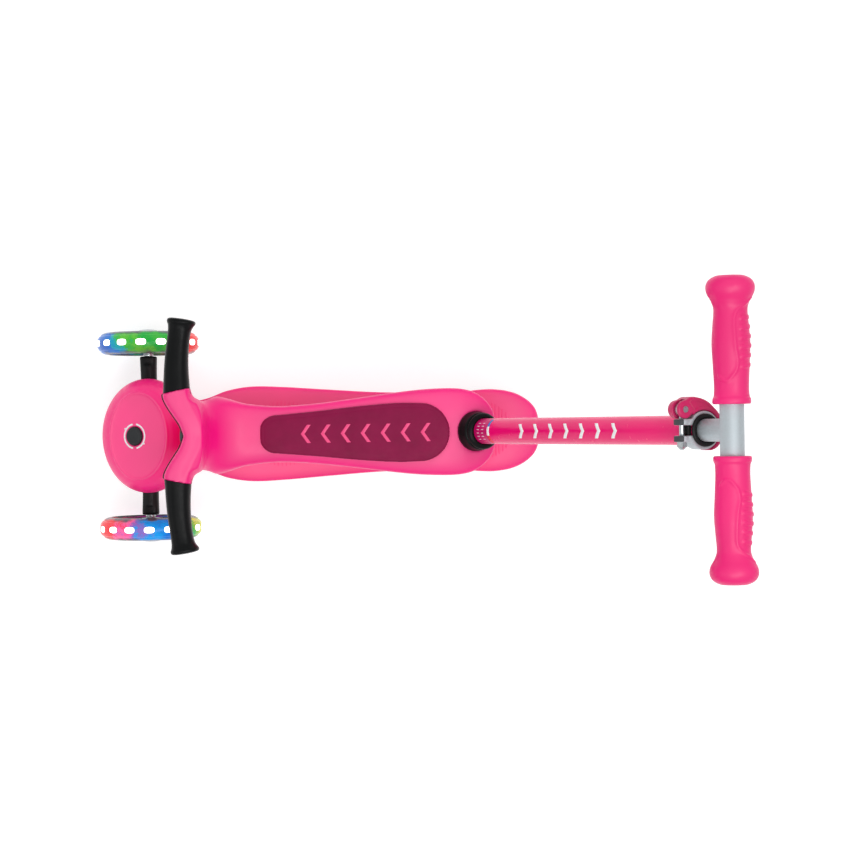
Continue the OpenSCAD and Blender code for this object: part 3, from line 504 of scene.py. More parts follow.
along_tube = (0, -LEAN, 0)
paints = {
    # the pinks' up-facing sides are painted paler: a painted sheen from the overhead light
    "pink_deck": plastic("deck_plastic", "f61a7c", 0.38, 1500, 0.00004, painted_sheen=0.09, shine=0.2),
    # the hub's pink is a lighter copy of the deck's: painted light, for the sheen its tilted face misses
    "pink_hub_painted_light": plastic("hub_plastic_painted_light", "fa187e", 0.36, 1900, 0.00003, painted_sheen=0.09, shine=0.22),
    "pink_shell": plastic("shell_plastic", "f20c7c", 0.34, 2400, 0.00002, painted_sheen=0.08, shine=0.19),
    "black_plastic": plastic("black_nylon", "131415", 0.42, 1300, 0.00005, 0.12, shine=0.22),
    "dark_core": plastic("wheel_nylon", "1a1c1e", 0.45, 1300, 0.00005, 0.12, shine=0.25),
    "black_button": plastic("button_plastic", "2b2d2f", 0.5, 1500, 0.00008, 0.12, shine=0.25),
    "grey_button": plastic("release_plastic", "474f52", 0.5, 1500, 0.00006, 0.1, shine=0.3),
    "black_rubber": rubber("grip_rubber", "0e0f10", 0.36, 0.12),
    "dark_rubber": rubber("bumper_rubber", "3c3f42", 0.6, 0.3),
    "steel": metal("plated_steel", "c3c9cc", 0.3),
    "silver": metal("satin_aluminium", "cdd5d9", 0.68, (1, 1, 0.04), along_tube),
    "white_print": printed("white_ink", "eef1f2"),
    "nylon": plastic("white_nylon", "e4e7e6", 0.45, 1300, 0.00004, 0.1),
    "lights": glow("lamp_white", "fff7ee", 3.0),
    "black_tyre": rubber("tyre_rubber", "17181a", 0.6, 0.3),
    "plum_pad": foam_pad("pad_foam", "820f40"),
    "pink_tube": plastic("tube_lacquer", "e9056c", 0.22, 2600, 0.00001, 0.2, shine=0.2),
    "berry_lever": plastic("lever_plastic", "c0205d", 0.4, 1400, 0.00005, 0.3, shine=0.4),
    "pink_grip": plastic("grip_rubber_pink", "e60b70", 0.38, 1500, 0.00005, 0.2, painted_sheen=0.03, shine=0.3),
}

# ---------------------------------------------------------------- camera, light and floor

scene = bpy.context.scene

EYE = Vector((-0.0483, -0.0143, 2.35))
AIM = Vector((-0.0483, -0.0009, 0.0))
ROLL = math.radians(0.9)

camera = bpy.data.objects.new("camera", bpy.data.cameras.new("camera"))
camera.data.lens = 80.8
camera.data.sensor_width = 36
camera.location = EYE
ahead = (AIM - EYE).normalized()
right = ahead.cross(Vector((0, -1, 0))).normalized()
above = right.cross(ahead)
right, above = (
    right * math.cos(ROLL) - above * math.sin(ROLL),
    above * math.cos(ROLL) + right * math.sin(ROLL),
)
camera.rotation_mode = "QUATERNION"
basis = np.array([right, above, -ahead]).T
camera.rotation_quaternion = Matrix(basis.tolist()).to_quaternion()
scene.collection.objects.link(camera)
scene.camera = camera


def area_light(name, place, aim, sides, power, seen_in_gloss=True):
    lamp = bpy.data.lights.new(name, "AREA")
    lamp.shape = "RECTANGLE"
    lamp.size, lamp.size_y = sides
    lamp.energy = power
    obj = bpy.data.objects.new(name, lamp)
    obj.visible_glossy = seen_in_gloss
    obj.location = place
    obj.rotation_mode = "QUATERNION"
    obj.rotation_quaternion = (Vector(place) - Vector(aim)).to_track_quat("Z", "Y")
    scene.collection.objects.link(obj)


area_light("overhead_box", (-0.5, 0.68, 2.9), (-0.15, 0.1, 0), (2.7, 1.3), 42)
area_light("side_fill", (-0.2, -2.3, 1.5), (0, 0, 0.1), (2.6, 0.7), 17, seen_in_gloss=False)
area_light("front_fill", (2.1, 0.4, 1.6), (0.28, 0, 0.15), (1.4, 1.2), 4)

world = bpy.data.worlds.new("studio")
world.use_nodes = True
background = world.node_tree.nodes["Background"].inputs
background["Color"].default_value = (*WHITE, 1)
background["Strength"].default_value = 0.55
scene.world = world
scene.view_settings.view_transform = "Standard"

FLOOR_HALF = 9
floor_mesh = bpy.data.meshes.new("floor")
floor_corners = [(x * FLOOR_HALF, y * FLOOR_HALF, 0) for x, y in ((-1, -1), (1, -1), (1, 1), (-1, 1))]
floor_mesh.from_pydata(floor_corners, [], [(0, 1, 2, 3)])
floor_paint = Paint("floor_white", 0.9)
floor_patches = floor_paint.spread(floor_paint.noise(3, 2), 0.3, 0.7)
floor_tone = floor_paint.mix(floor_patches, (0.5,) * 3, (0.52,) * 3)
floor_paint.colour(floor_tone)
floor_paint.emit(floor_tone, 1.3)
floor_mesh.materials.append(floor_paint.material)
floor = bpy.data.objects.new("floor", floor_mesh)
scene.collection.objects.link(floor)

# ---------------------------------------------------------------- seat unit

# [x, half width, top, underside] of the saddle
SADDLE = [
    [-122, 12, 196, 190], [-118, 24, 202, 187], [-110, 35, 207.5, 185], [-98, 43.5, 213.5, 184],
    [-84, 47.4, 219, 184], [-66, 48.4, 222, 184], [-34, 47, 222, 184], [0, 43.2, 222, 184],
    [40, 38, 222, 184], [80, 33.4, 222, 184], [118, 31.2, 222, 184],
    [148, 33.4, 223.5, 183], [172, 37.6, 227, 178], [186, 39, 231, 172],
]
SADDLE_POWER = 3.2
# [z, middle x, half depth, half width] of the front column
COLUMN = [
    [99.4, 201, 20.5, 30], [120, 200.5, 20.5, 29.5], [150, 200, 21.5, 30], [178, 200, 24, 33.5],
    [200, 200.5, 25.5, 36.5], [222, 201.5, 23, 36.5], [246, 203.5, 15.5, 37], [262, 204, 9.5, 38],
    [283, 206, 6.5, 30],
]
# [y, middle x, half depth, half height] of the yoke that carries the grips
YOKE = [
    [0, 208, 8, 13], [12, 210, 10.5, 13.4], [22, 214.5, 12.5, 13.8], [32, 219.8, 13.6, 13.8],
    [41, 223, 14.6, 13.8], [48, 223.2, 14.6, 13.6],
]
YOKE_X = YOKE[-1][1]
# the fillet between column and arms: in front, behind, and how far it takes to grow
FRONT_FILLET, BACK_FILLET, FILLET_RUN = 3, 22, 12
# where the yoke meets a grip: how far out at YOKE_X, and how much nearer for each millimetre ahead
YOKE_END, YOKE_SLANT = 49.0, 0.2
# the release bar between the grips, and the gap round it
RELEASE_X, _, RELEASE_Z = middle("release_button") + (2, 0, 0)
RELEASE_BACK, RELEASE_HALF, RELEASE_FRONT, RELEASE_BOW = 207.8, 9.5, 221.0, 36
RELEASE_TALL, RELEASE_GAP, RELEASE_PITCH = 3.9, 0.5, 2.2
# [z, half depth, half width] of the leg under the saddle
LEG = [[84.9, 32, 27], [92, 29, 26], [104, 26.5, 24.5], [140, 26, 24.5], [170, 28, 27], [190, 31, 31]]
# the saddle's lower half is what is under this height and behind this place
SPLIT_Z, SPLIT_X = 190, 168
# heights along the push bar: the bore's lower end, the collar's foot, the lining's top and the seat's
BORE_FOOT, COLLAR_BASE, BORE_TOP, SEAT_TOP = -600, -449, -430, -400


def bar_axis_x(z):
    """Where the push bar's axis passes a height."""
    return BAR_X + (BAR_Z - z) * math.tan(LEAN)


LEG_X = bar_axis_x(LEG[0][0])


def around_leg(long, wide, bottom, top):
    """Two corners of a box about the leg's foot."""
    return (LEG_X - long, -wide, bottom), (LEG_X + long, wide, top)


def yoke_end(x):
    """Where the yoke meets a grip: farther out at the rear."""
    return YOKE_END - YOKE_SLANT * (x - YOKE_X)


def lofted(rows, power, ends, x, y, z):
    """A body along X from rows of [x, half width, top, underside], its ends rounded."""
    half, top, low = read(rows, x)
    section = squircle(y, z - (top + low) / 2, half, (top - low) / 2, power)
    return common(section, slab(x, rows[0][0], rows[-1][0]), ends)


def saddle(x, y, z):
    return lofted(SADDLE, SADDLE_POWER, 4, x, y, z)


def column(x, y, z):
    mid, depth, half = read(COLUMN, z)
    return common(squircle(x - mid, y, depth, half, 2.7), slab(z, COLUMN[0][0], COLUMN[-1][0]), 3)


def yoke(x, y, z, proud=0.0):
    """The arms' field, which may stand proud in front and below."""
    mid, depth, height = read(YOKE, np.abs(y))
    return squircle(x - mid - proud / 2, z - HANDLE_Z, depth + proud / 2, height + proud, 2.3)


def bar_bore(x, y, z):
    """The hole for the push bar's lining, and the seat of the collar."""
    u, v, w = in_bar(x, y, z)
    radius = np.hypot(u, v)
    lining = np.maximum(radius - SOCKET_R - 0.1, slab(w, BORE_FOOT, BORE_TOP))
    return np.minimum(lining, np.maximum(radius - COLLAR_R - 0.2, slab(w, COLLAR_BASE, SEAT_TOP)))


def below_split(x, z, more):
    """The room of the saddle's lower half, grown by a clearance."""
    return np.maximum(z - SPLIT_Z - more, x - SPLIT_X - more)


def seat_lower(x, y, z):
    return join(saddle(x, y, z), column(x, y, z), 24)


def shell_field(x, y, z):
    low = seat_lower(x, y, z)
    behind = np.clip((read(YOKE, np.abs(y))[0] - x) / FILLET_RUN, 0, 1)
    fillet = FRONT_FILLET + (BACK_FILLET - FRONT_FILLET) * behind
    arms = np.maximum(join(low, yoke(x, y, z), fillet), np.abs(y) - yoke_end(x) + 0.15)
    black_half = np.maximum(np.maximum(yoke(x, y, z, 0.4), z - HANDLE_Z), 0.5 - low)
    body = cut(cut(arms, black_half, 0.4), below_split(x, z, 0.4), 1.2)
    return cut(body, bar_bore(x, y, z), 1.5)


def core_field(x, y, z):
    """The black half under the arms, a lip proud of them in front."""
    lower = common(yoke(x, y, z, 1.8), z - HANDLE_Z + 0.2, 0.6)
    lower = np.maximum(lower, np.abs(y) - yoke_end(x) + 0.1)
    wide, tall = RELEASE_HALF + RELEASE_GAP, RELEASE_TALL + RELEASE_GAP
    pocket = block(x - RELEASE_X, y, z - RELEASE_Z, (-14, -wide, -tall), (20, wide, tall), 0.5)
    return cut(cut(lower, seat_lower(x, y, z) - 0.1, 0.5), pocket, 0.5)


def base_field(x, y, z):
    lower = common(saddle(x, y, z), below_split(x, z, -0.2), 1.0)
    depth, half = read(LEG, z)
    leg = squircle(x - bar_axis_x(z), y, depth, half, 2.8)
    leg = common(leg, slab(z, LEG[0][0], SPLIT_Z - 0.5), 2)
    plug = block(x - LEG_X, y, z, (-17, -13, 61), (17, 13, 90), 2)
    return cut(join(join(lower, leg, 14), plug, 0.5), bar_bore(x, y, z), 1.0)


def release_field(x, y, z):
    """A bowed push bar, with three shallow grooves for the fingertip."""
    bow = np.hypot(x - RELEASE_FRONT + RELEASE_BOW, y) - RELEASE_BOW
    from_groove = (z - RELEASE_Z + RELEASE_PITCH / 2) % RELEASE_PITCH - RELEASE_PITCH / 2
    low = (RELEASE_BACK, -RELEASE_HALF, -RELEASE_TALL)
    high = (RELEASE_FRONT + 5, RELEASE_HALF, RELEASE_TALL)
    bar = block(x, y, z - RELEASE_Z, low, high, 1.2)
    return common(bow + 0.35 * bell(from_groove, 0.5), bar, 1.2)


moulded("seat_upper", shell_field, (-124, -52, 98), (243, 52, 293), 1.5,
        "seat", "pink_shell", ["seat_shell"])
moulded("seat_under", base_field, (-124, -50, 60), (170, 50, 192), 1.6,
        "seat", "pink_shell", ["seat_base"])
moulded("handlebar_saddle", core_field, (192, -52, 258), (245, 52, 280), 0.9,
        "seat", "black_plastic", ["handlebar_core"])
moulded("release_push_bar", release_field, (206, -11, RELEASE_Z - 5), (223, 11, RELEASE_Z + 5), 0.45,
        "release", "grey_button", ["release_button"])

# [share of the length, radius] of the rider's grips
HANDLE_GRIP = [
    [0, 14.3], [0.2, 13.4], [0.4, 12.8], [0.7, 12.2], [0.86, 12.5], [0.91, 13.4], [0.945, 14.8],
    [0.965, 15.1], [0.99, 14.4], [1, 12.6],
]
# how far back the grips' outer ends sweep
HANDLE_SWEEP = 7


def handle_grip(side, name):
    """A rider's grip, its inner end slanted like the yoke's, its outer end closed by three small rings."""
    rings = []
    for share in np.concatenate([np.linspace(0, 0.84, 40), np.linspace(0.85, 1, 22)]):
        out = YOKE_END + share * (HANDLE_END - YOKE_END - 0.6)
        radius = read(HANDLE_GRIP, share)[0]
        centre_x = YOKE_X - HANDLE_SWEEP * max((share - 0.2) / 0.8, 0) ** 2
        loop = ring((centre_x, 0, HANDLE_Z), (radius, 0, 0), (0, 0, radius * 0.98), 2.5, 72)
        slant = 0.16 * np.clip((share - 0.8) / 0.1, 0, 1) - YOKE_SLANT * (1 - share)
        loop[:, 1] = side * (out + slant * (loop[:, 0] - centre_x))
        rings.append(loop)
    last = rings[-1]
    heart = last.mean(0)
    for share, drop in ((0.75, 0.5), (0.4, 0.8), (0.05, 0.9)):
        rings.append(heart + (last - heart) * share + np.array([0, side * drop, 0]))
    piece(f"{name}_handle_grip_rubber", loft(rings), "seat", "black_rubber", [f"{name}_handle_grip"])


for side, name in SIDES:
    handle_grip(side, name)

# ---------------------------------------------------------------- seat pad and its print

PAD_BACK, PAD_FRONT = extent("seat_pad")[0][0], extent("seat_pad")[1][0]
# the round tail, then the nose: how long it is, how much it narrows, half its width
PAD_TAIL_R, PAD_LONG, PAD_WIDE, PAD_NOSE = 32, 18, 16, 21
# [x, half width] between them
PAD_WIDTHS = [
    [PAD_BACK + PAD_TAIL_R, PAD_TAIL_R], [-13, 32.5], [30, 29.6], [75, 25],
    [PAD_FRONT - PAD_LONG, PAD_NOSE],
]
PAD_THICK, PAD_CROWN = 6.4, 1.3
# the channel inside the edge: how far in, how wide, how deep
CHANNEL_IN, CHANNEL_WIDE, CHANNEL_DEEP = 4.2, 0.9, 0.22
# the printed chevrons: half width, how far back the tips lie, width of the band
MARK_HALF, MARK_RISE, MARK_BAND = 10, 7, 4.2


def pad_half(x):
    """Half width of the pad at x."""
    tail = np.sqrt(np.maximum(PAD_TAIL_R**2 - np.maximum(PAD_BACK + PAD_TAIL_R - x, 0) ** 2, 0))
    reach = np.clip((x - PAD_FRONT + PAD_LONG) / PAD_LONG, 0, 1)
    nose = PAD_NOSE - PAD_WIDE * (1 - np.sqrt(1 - reach**2))
    side = read(PAD_WIDTHS, x)[0]
    return np.where(x < PAD_BACK + PAD_TAIL_R, tail, np.where(reach > 0, nose, side))


def pad_inset(x, y):
    """About how far a point is outside the pad's outline, negative inside."""
    reach = np.linspace(PAD_BACK, PAD_FRONT, 420)
    edge = pad_half(reach)
    x, y = np.broadcast_arrays(np.asarray(x, float), np.abs(y))
    near = np.full(x.shape, 1e9)
    for px, py in zip(reach, edge):
        near = np.minimum(near, np.hypot(x - px, y - py))
    for py in np.linspace(0, edge[-1], 12):
        near = np.minimum(near, np.hypot(x - PAD_FRONT, y - py))
    inside = (x > PAD_BACK) & (x < PAD_FRONT) & (y < pad_half(x))
    return np.where(inside, -near, near)


def pad_height(inset):
    """Height of the pad's face: crowned, with a moulded channel just inside its edge."""
    crown = 1 - np.exp(np.minimum(inset, 0) / 7)
    channel = CHANNEL_DEEP * bell(inset + CHANNEL_IN, CHANNEL_WIDE)
    return PAD_TOP - PAD_CROWN + PAD_CROWN * crown - channel


def pad_field(x, y, z):
    inset = pad_inset(x[:, :, 0], y[:, :, 0])[:, :, None]
    return common(np.maximum(inset, PAD_TOP - PAD_THICK - z), z - pad_height(inset), 2.6)


def pad_mark(x0):
    """A chevron on the pad's face."""
    y = np.linspace(-MARK_HALF, MARK_HALF, 17)
    x = x0 - MARK_RISE * np.abs(y) / MARK_HALF
    path = np.column_stack([x, y, pad_height(pad_inset(x, y))])
    return strip(path, (1, 0, 0), (0, 0, 1), MARK_BAND, 0.14)


pad = moulded("seat_cushion", pad_field, (-71, -33.5, 219.4), (140, 33.5, 226.2), 0.75,
              "seat", "plum_pad", ["seat_pad"])
piece("pad_print", together([pad_mark(x0) for x0 in np.linspace(-40, 92, 7)]),
      "seat", "plum_pad", paint=printed("pink_ink", "ef4380"))

# ---------------------------------------------------------------- deck

# [x, half width, top, underside]
DECK = [
    [-90, 46, 84, 60], [-50, 46, 82, 54], [10, 47, 80, 52], [70, 51, 79.5, 51],
    [125, 55, 80, 51], [162, 56, 82, 52], [190, 51.5, 87, 57], [212, 43, 94, 66],
    [232, 39, 96, 76], [252, 38, 94.8, 82],
]
# squareness of the deck's section, the wall over its hollow, and how much lower the hollow lies
DECK_POWER, WALL, HOLLOW_DROP, HOLLOW_FRONT = 3.4, 4, 17, 176
# the round nose under the hub: middle, half length, half width, underside, top
NOSE_X, NOSE_LONG, NOSE_WIDE, NOSE_LOW, NOSE_TOP = WHEEL_X - 6, 45, 57, 87, 95
# slots for the rear fork's arms: their inner and outer sides, front end and top
FORK_IN, FORK_OUT, SLOT_FRONT, SLOT_TOP = REAR_W / 2 + 3.5, REAR_W / 2 + 10.5, -47.9, 79
# stiffening ribs under the deck, and half their thickness
LONG_RIBS, CROSS_RIBS, RIB_HALF = (-14, 14), (-62, 30, 72, 114, 156), 1.5
# holes for the front post, its flange, and the leg, and what stays solid round them
POST_HOLE_R, FLANGE_HOLE_R, FLANGE_Z, POST_SOLID_R = 17.6, 20.6, 95.9, 25
LEG_HOLE_LONG, LEG_HOLE_WIDE, LEG_SOLID_LONG, LEG_SOLID_WIDE = 21.1, 17.1, 26, 22
KINGPIN_BOSS_R, KINGPIN_BOSS_HALF, KINGPIN_HOLE_R = 15, 13, 6.1
# moulded grip ribs on deck and brake: [middle x, half length, half width, pitch]
DECK_RIBS = (124, 45, 38.5, 4.7)
BRAKE_RIBS = (-108, 37, 34, 4.0)


def under(rows, power, x, y, z):
    """The hollow that leaves a wall under a lofted cover."""
    half, top, low = read(rows, x)
    tall = (top - low) / 2 + HOLLOW_DROP - WALL
    return squircle(y, z - (top + low) / 2 + HOLLOW_DROP, half - WALL, tall, power)


def deck_field(x, y, z):
    body = lofted(DECK, DECK_POWER, 5, x, y, z)
    nose = squircle(x - NOSE_X, y, NOSE_LONG, NOSE_WIDE, 2)
    body = join(body, common(nose, slab(z, NOSE_LOW, NOSE_TOP), 2), 6)
    hollow = under(DECK, DECK_POWER, x, y, z)
    hollow = common(hollow, slab(x, DECK[0][0] + 5, HOLLOW_FRONT), 3)
    for rib_y in LONG_RIBS:
        hollow = np.maximum(hollow, RIB_HALF - np.abs(y - rib_y) + 0 * z)
    for rib_x in CROSS_RIBS:
        hollow = np.maximum(hollow, RIB_HALF - np.abs(x - rib_x))
    low, high = around_leg(LEG_SOLID_LONG, LEG_SOLID_WIDE, 40, 95)
    hollow = np.maximum(hollow, -block(x, y, z, low, high))
    post = np.hypot(x - POST_X, y) + 0 * z
    hollow = np.maximum(hollow, POST_SOLID_R - post)
    body = cut(body, hollow, 1.0)
    body = cut(body, np.minimum(post - POST_HOLE_R, np.maximum(post - FLANGE_HOLE_R, FLANGE_Z - z)), 0.5)
    low, high = around_leg(LEG_HOLE_LONG, LEG_HOLE_WIDE, 30, 110)
    body = cut(body, block(x, y, z, low, high, 0.6), 0.6)
    slots = np.maximum(x - SLOT_FRONT, z - SLOT_TOP)
    body = cut(body, np.maximum(slots, slab(np.abs(y), FORK_IN - 0.1, FORK_OUT + 0.1)), 0.6)
    radius, along = about_line(x, y, z, KINGPIN, KINGPIN_AXIS)
    return cut(body, np.maximum(radius - KINGPIN_BOSS_R - 0.1, -along), 0.5)


def top_of(rows, power, x, y):
    """Height of a lofted body's upper side."""
    half, top, low = read(rows, x)
    share = np.clip(1 - (np.abs(y) / half) ** power, 0, 1) ** (1 / power)
    return (top + low) / 2 + (top - low) / 2 * share


def rib_patch(rows, power, patch, width, height, gap=0.0):
    """Crosswise ribs inside an ellipse on a lofted body's upper side."""
    mid_x, long, wide, pitch = patch
    ribs = []
    for x0 in np.arange(mid_x - long + pitch, mid_x + long, pitch):
        reach = wide * math.sqrt(max(1 - ((x0 - mid_x) / long) ** 2, 0))
        if reach < gap + 4:
            continue
        for span in ((gap, reach), (-reach, -gap)) if gap else ((-reach, reach),):
            y = np.linspace(*span, 25)
            line = np.stack([np.full(25, x0), y, top_of(rows, power, x0, y)], 1)
            ribs.append(strip(line, (1, 0, 0), (0, 0, 1), width, height, rounded=True))
    return together(ribs)


moulded("deck_moulding", deck_field, (-91, -57, 50), (324, 57, 98), 1.5, "deck", "pink_deck", ["deck"])
piece("deck_grip_ribs", rib_patch(DECK, DECK_POWER, DECK_RIBS, 2.2, 0.8), "deck", "pink_deck")

# ---------------------------------------------------------------- hub and lock button

# [z, half length, half width, middle x, tilt in degrees] of the hub's skin
HUB = [
    [92, 50, 62.5, 278, 0], [100, 52.6, 65.6, 278.2, 1], [112, 53.2, 66.2, 278.6, 4],
    [126, 52, 65, 279.4, 10], [140, 48.6, 61.4, 280.6, 17], [150, 44.4, 56.6, 281.8, 22.5],
    [156.6, 39.8, 51.4, 282.8, 26],
]


def down_slope(angle):
    """Unit vector forwards down a slope."""
    return np.array([math.cos(angle), 0, -math.sin(angle)])


# how the hub's lower edge turns in: (height, half length, half width), and its middle
HUB_X = 278
HUB_EDGE = [(98, 44, 56), (92.2, 48, 60)]
# the hub's slanted face, with the lock button on it
FACE = np.array([283.0, 0.0, 158.0])
FACE_TILT = math.radians(HUB[-1][-1])
DOWN_FACE = down_slope(FACE_TILT)
FACE_NORMAL = np.array([math.sin(FACE_TILT), 0, math.cos(FACE_TILT)])
ACROSS = np.array([0.0, 1.0, 0.0])
BUTTON_X = 5
# (half length, half width, height, share of the way to the button) of the rings that make
# the raised rim, the shallow dish and the button's hole
FACE_RINGS = [
    (39.3, 50.8, -0.5, 0), (38.9, 50.3, 0.3, 0), (38.4, 49.7, 0.85, 0), (37.9, 49.1, 1.0, 0),
    (37.3, 48.4, 0.95, 0), (36.8, 47.7, 0.6, 0), (36.2, 47.0, 0.25, 0), (35.4, 46.2, 0.15, 0),
    (32, 42, 0.1, 0.05), (24, 32, 0.2, 0.35), (16, 19, 0.25, 0.75), (13, 13.6, 0.2, 0.95),
    (11.6, 11.6, 0.1, 1), (11.1, 11.1, -0.15, 1), (10.9, 10.9, -0.7, 1), (10.8, 10.8, -18, 1),
    (8, 8, -18.2, 1),
]
# (radius, height) of the button, and the print round it: its radius and height over the face
BUTTON = [
    (0.2, -13.8), (5.9, -13.8), (6, -7.2), (10.4, -7), (10.5, 1.0), (10.3, 1.7), (9.8, 2.15), (9, 2.35),
    (7.6, 2.45), (7.0, 2.2), (5, 1.95), (0.2, 1.8),
]
MARK_R, MARK_LIFT = 13.7, 0.15


def on_face(points):
    """From the hub face's own frame, X down the slope and Z out of it, to the row's."""
    points = np.asarray(points, float)
    return FACE + points[:, :1] * DOWN_FACE + points[:, 1:2] * ACROSS + points[:, 2:] * FACE_NORMAL


def from_button(points):
    """From a frame about the button's axis, on the face, to the row's."""
    return on_face(points + (BUTTON_X, 0, 0))


def hub_shape():
    """The hub's skin, from inside its lower edge up to the face and down the button's hole."""
    count = 128
    rings = [
        ring((HUB_X, 0, z), (long, 0, 0), (0, wide, 0), count=count) for z, long, wide in HUB_EDGE
    ]
    for z in np.concatenate([[92.4, 93.2], np.linspace(95, HUB[-1][0], 44)]):
        long, wide, mid_x, tilt = read(HUB, z)
        pull = 1 - max(0, (94.5 - z) / 3) * 0.018
        u = down_slope(math.radians(tilt)) * long * pull
        rings.append(ring((mid_x, 0, z), u, ACROSS * wide * pull, count=count))
    for long, wide, height, shift in FACE_RINGS:
        centre = FACE + DOWN_FACE * BUTTON_X * shift + FACE_NORMAL * height
        rings.append(ring(centre, DOWN_FACE * long, ACROSS * wide, count=count))
    return loft(rings)


def lock_mark_shape():
    """Two broken arcs round the button, and a small tick on each."""
    parts = []
    for start, end in ((100, 260), (280, 440)):
        angle = np.radians(np.linspace(start, end, 49))
        out = np.stack([np.cos(angle), np.sin(angle), 0 * angle], 1)
        side = out[:, :1] * DOWN_FACE + out[:, 1:2] * ACROSS
        parts.append(strip(from_button(out * MARK_R + (0, 0, MARK_LIFT)), side, FACE_NORMAL, 1.9, 0.2))
    for angle in (math.radians(146), math.radians(326)):
        out = np.array([math.cos(angle), math.sin(angle), 0])
        reach = np.array([MARK_R + 0.5, MARK_R + 2.4])
        path = from_button(np.outer(reach, out) + (0, 0, MARK_LIFT))
        side = -out[1] * DOWN_FACE + out[0] * ACROSS
        parts.append(strip(path, side, FACE_NORMAL, 2.0, 0.2))
    return together(parts)


# the hub takes the lighter copy of the pink: painted light
piece("hub_dome", hub_shape(), "deck", "pink_deck", ["hub_cover"], paints["pink_hub_painted_light"])
piece("lock_push_button", turned(BUTTON, from_button, 72), "lock", "black_button", ["lock_button"])
piece("lock_ring_print", lock_mark_shape(), "deck", "white_print", ["lock_mark"])

# ---------------------------------------------------------------- truck

# [y, x, z, half depth, half height] of one of the truck's arms
ARM = [
    [0, 278, 63, 14, 12], [10, 279, 62, 13, 11], [30, 281.5, 61, 10.5, 9.5], [48, 283.2, 60.6, 9.6, 8.6],
    [70, 284, 60.5, 9.4, 8.2], [94, 284.2, 60.5, 10, 8.6],
]


def truck_field(x, y, z):
    mid_x, mid_z, depth, height = read(ARM, np.abs(y))
    arm = common(squircle(x - mid_x, z - mid_z, depth, height, 3), np.abs(y) - ARM[-1][0] + 0.4, 1.5)
    web = squircle(x - mid_x, z - mid_z, depth * 0.55, height + 1.3, 4)
    arm = join(arm, common(web, np.abs(y) - 84, 3), 2)
    radius, along = about_line(x, y, z, KINGPIN, KINGPIN_AXIS)
    boss = common(radius - KINGPIN_BOSS_R, np.abs(along) - KINGPIN_BOSS_HALF, 1.2)
    tab = block(x, y, z, (246, -7, 62), (268, 7, 69), 1.5)
    return cut(join(join(arm, boss, 7), tab, 3), radius - KINGPIN_HOLE_R, 0.6)


moulded("truck_beam_casting", truck_field, (244, -95, 44), (300, 95, 86), 1.2,
        "truck", "black_plastic", ["truck_beam"])

# ---------------------------------------------------------------- wheels

LIGHTS = 16
# (share of the turn, colour) of the glow inside each front tyre
LEFT_COLOURS = [
    (0.0, "dc1420"), (0.07, "e01a2c"), (0.13, "e2333c"), (0.18, "ea5f9c"), (0.22, "7d60b4"),
    (0.26, "0890dc"), (0.36, "0c66c4"), (0.43, "219e38"), (0.49, "d2d236"), (0.55, "26a23a"),
    (0.66, "0b6ccc"), (0.8, "b32c9c"), (0.92, "dc1420"),
]
RIGHT_COLOURS = [
    (0.0, "0c90dc"), (0.06, "0a54ae"), (0.12, "0c62ba"), (0.16, "1596ae"), (0.2, "33a436"),
    (0.24, "58ae38"), (0.3, "149a3a"), (0.37, "40a438"), (0.42, "d01e1c"), (0.52, "de161e"),
    (0.62, "b9244e"), (0.76, "28923a"), (0.9, "0a6cc4"),
]
# how far the front tread is rounded down to its flanks
FRONT_CROWN = 13
# a lamp's window: half length round the tread, half width, and how far the tyre is lower than it
WINDOW_LONG, WINDOW_WIDE, WINDOW_LIFT = 6.0, 3.5, 0.45
# radii of the wheels' cores: the rim's inside and outside, the hub, the axle's hole and the bearings'
RIM_IN, RIM_OUT, HUB_R, BORE_R = 40.5, 44.9, 15, 9.1
REAR_RIM_IN, REAR_RIM_OUT, REAR_HUB_R, REAR_BORE_R = 25, 28.9, 14, 8.6
BEARING_R = 11
# (radius, height) of a front wheel's cap
CAP = [
    (9.3, 10.6), (14.6, 10.6), (15, 11.2), (14.9, 12.2), (14.2, 13.0), (12.3, 14.6), (9.6, 15.9),
    (7, 16.5), (3.5, 16.9), (0.3, 17),
]


def tread(radius, width, crown, grooves, count):
    """Rows of (radius, height) across a tyre's tread, with shallow grooves at the given heights."""
    angle = np.linspace(-math.pi / 2 + 0.02, math.pi / 2 - 0.02, count)
    height = np.sin(angle) * width / 2
    r = radius - crown + crown * np.cos(angle)
    for groove in grooves:
        r = r - 0.8 * bell(height - groove, 0.7)
    return list(zip(r, height))


def tyre_shape(tread_rows, bead, place, count):
    """A tyre from its tread and one bead, which is mirrored to the other side."""
    profile = tread_rows + bead + [(r, -height) for r, height in reversed(bead)]
    return turned(profile, place, count, closed=True)


def at_wheel(side):
    """Placer for points about a front wheel's axle, height outwards."""
    def place(p):
        return np.stack([WHEEL_X + p[:, 0], side * (TRACK_HALF + p[:, 2]), WHEEL_Z + p[:, 1]], 1)
    return place


def front_tyre_shape(side):
    half = WHEEL_W / 2
    rows = tread(WHEEL_R - WINDOW_LIFT, WHEEL_W, FRONT_CROWN, (-9.2, 9.2), 60)
    bead = [(WHEEL_R - 14.2, half - 0.1), (46.6, half - 0.4), (45.6, half - 1.4), (45.1, half - 3)]
    return tyre_shape(rows, bead, at_wheel(side), 192)


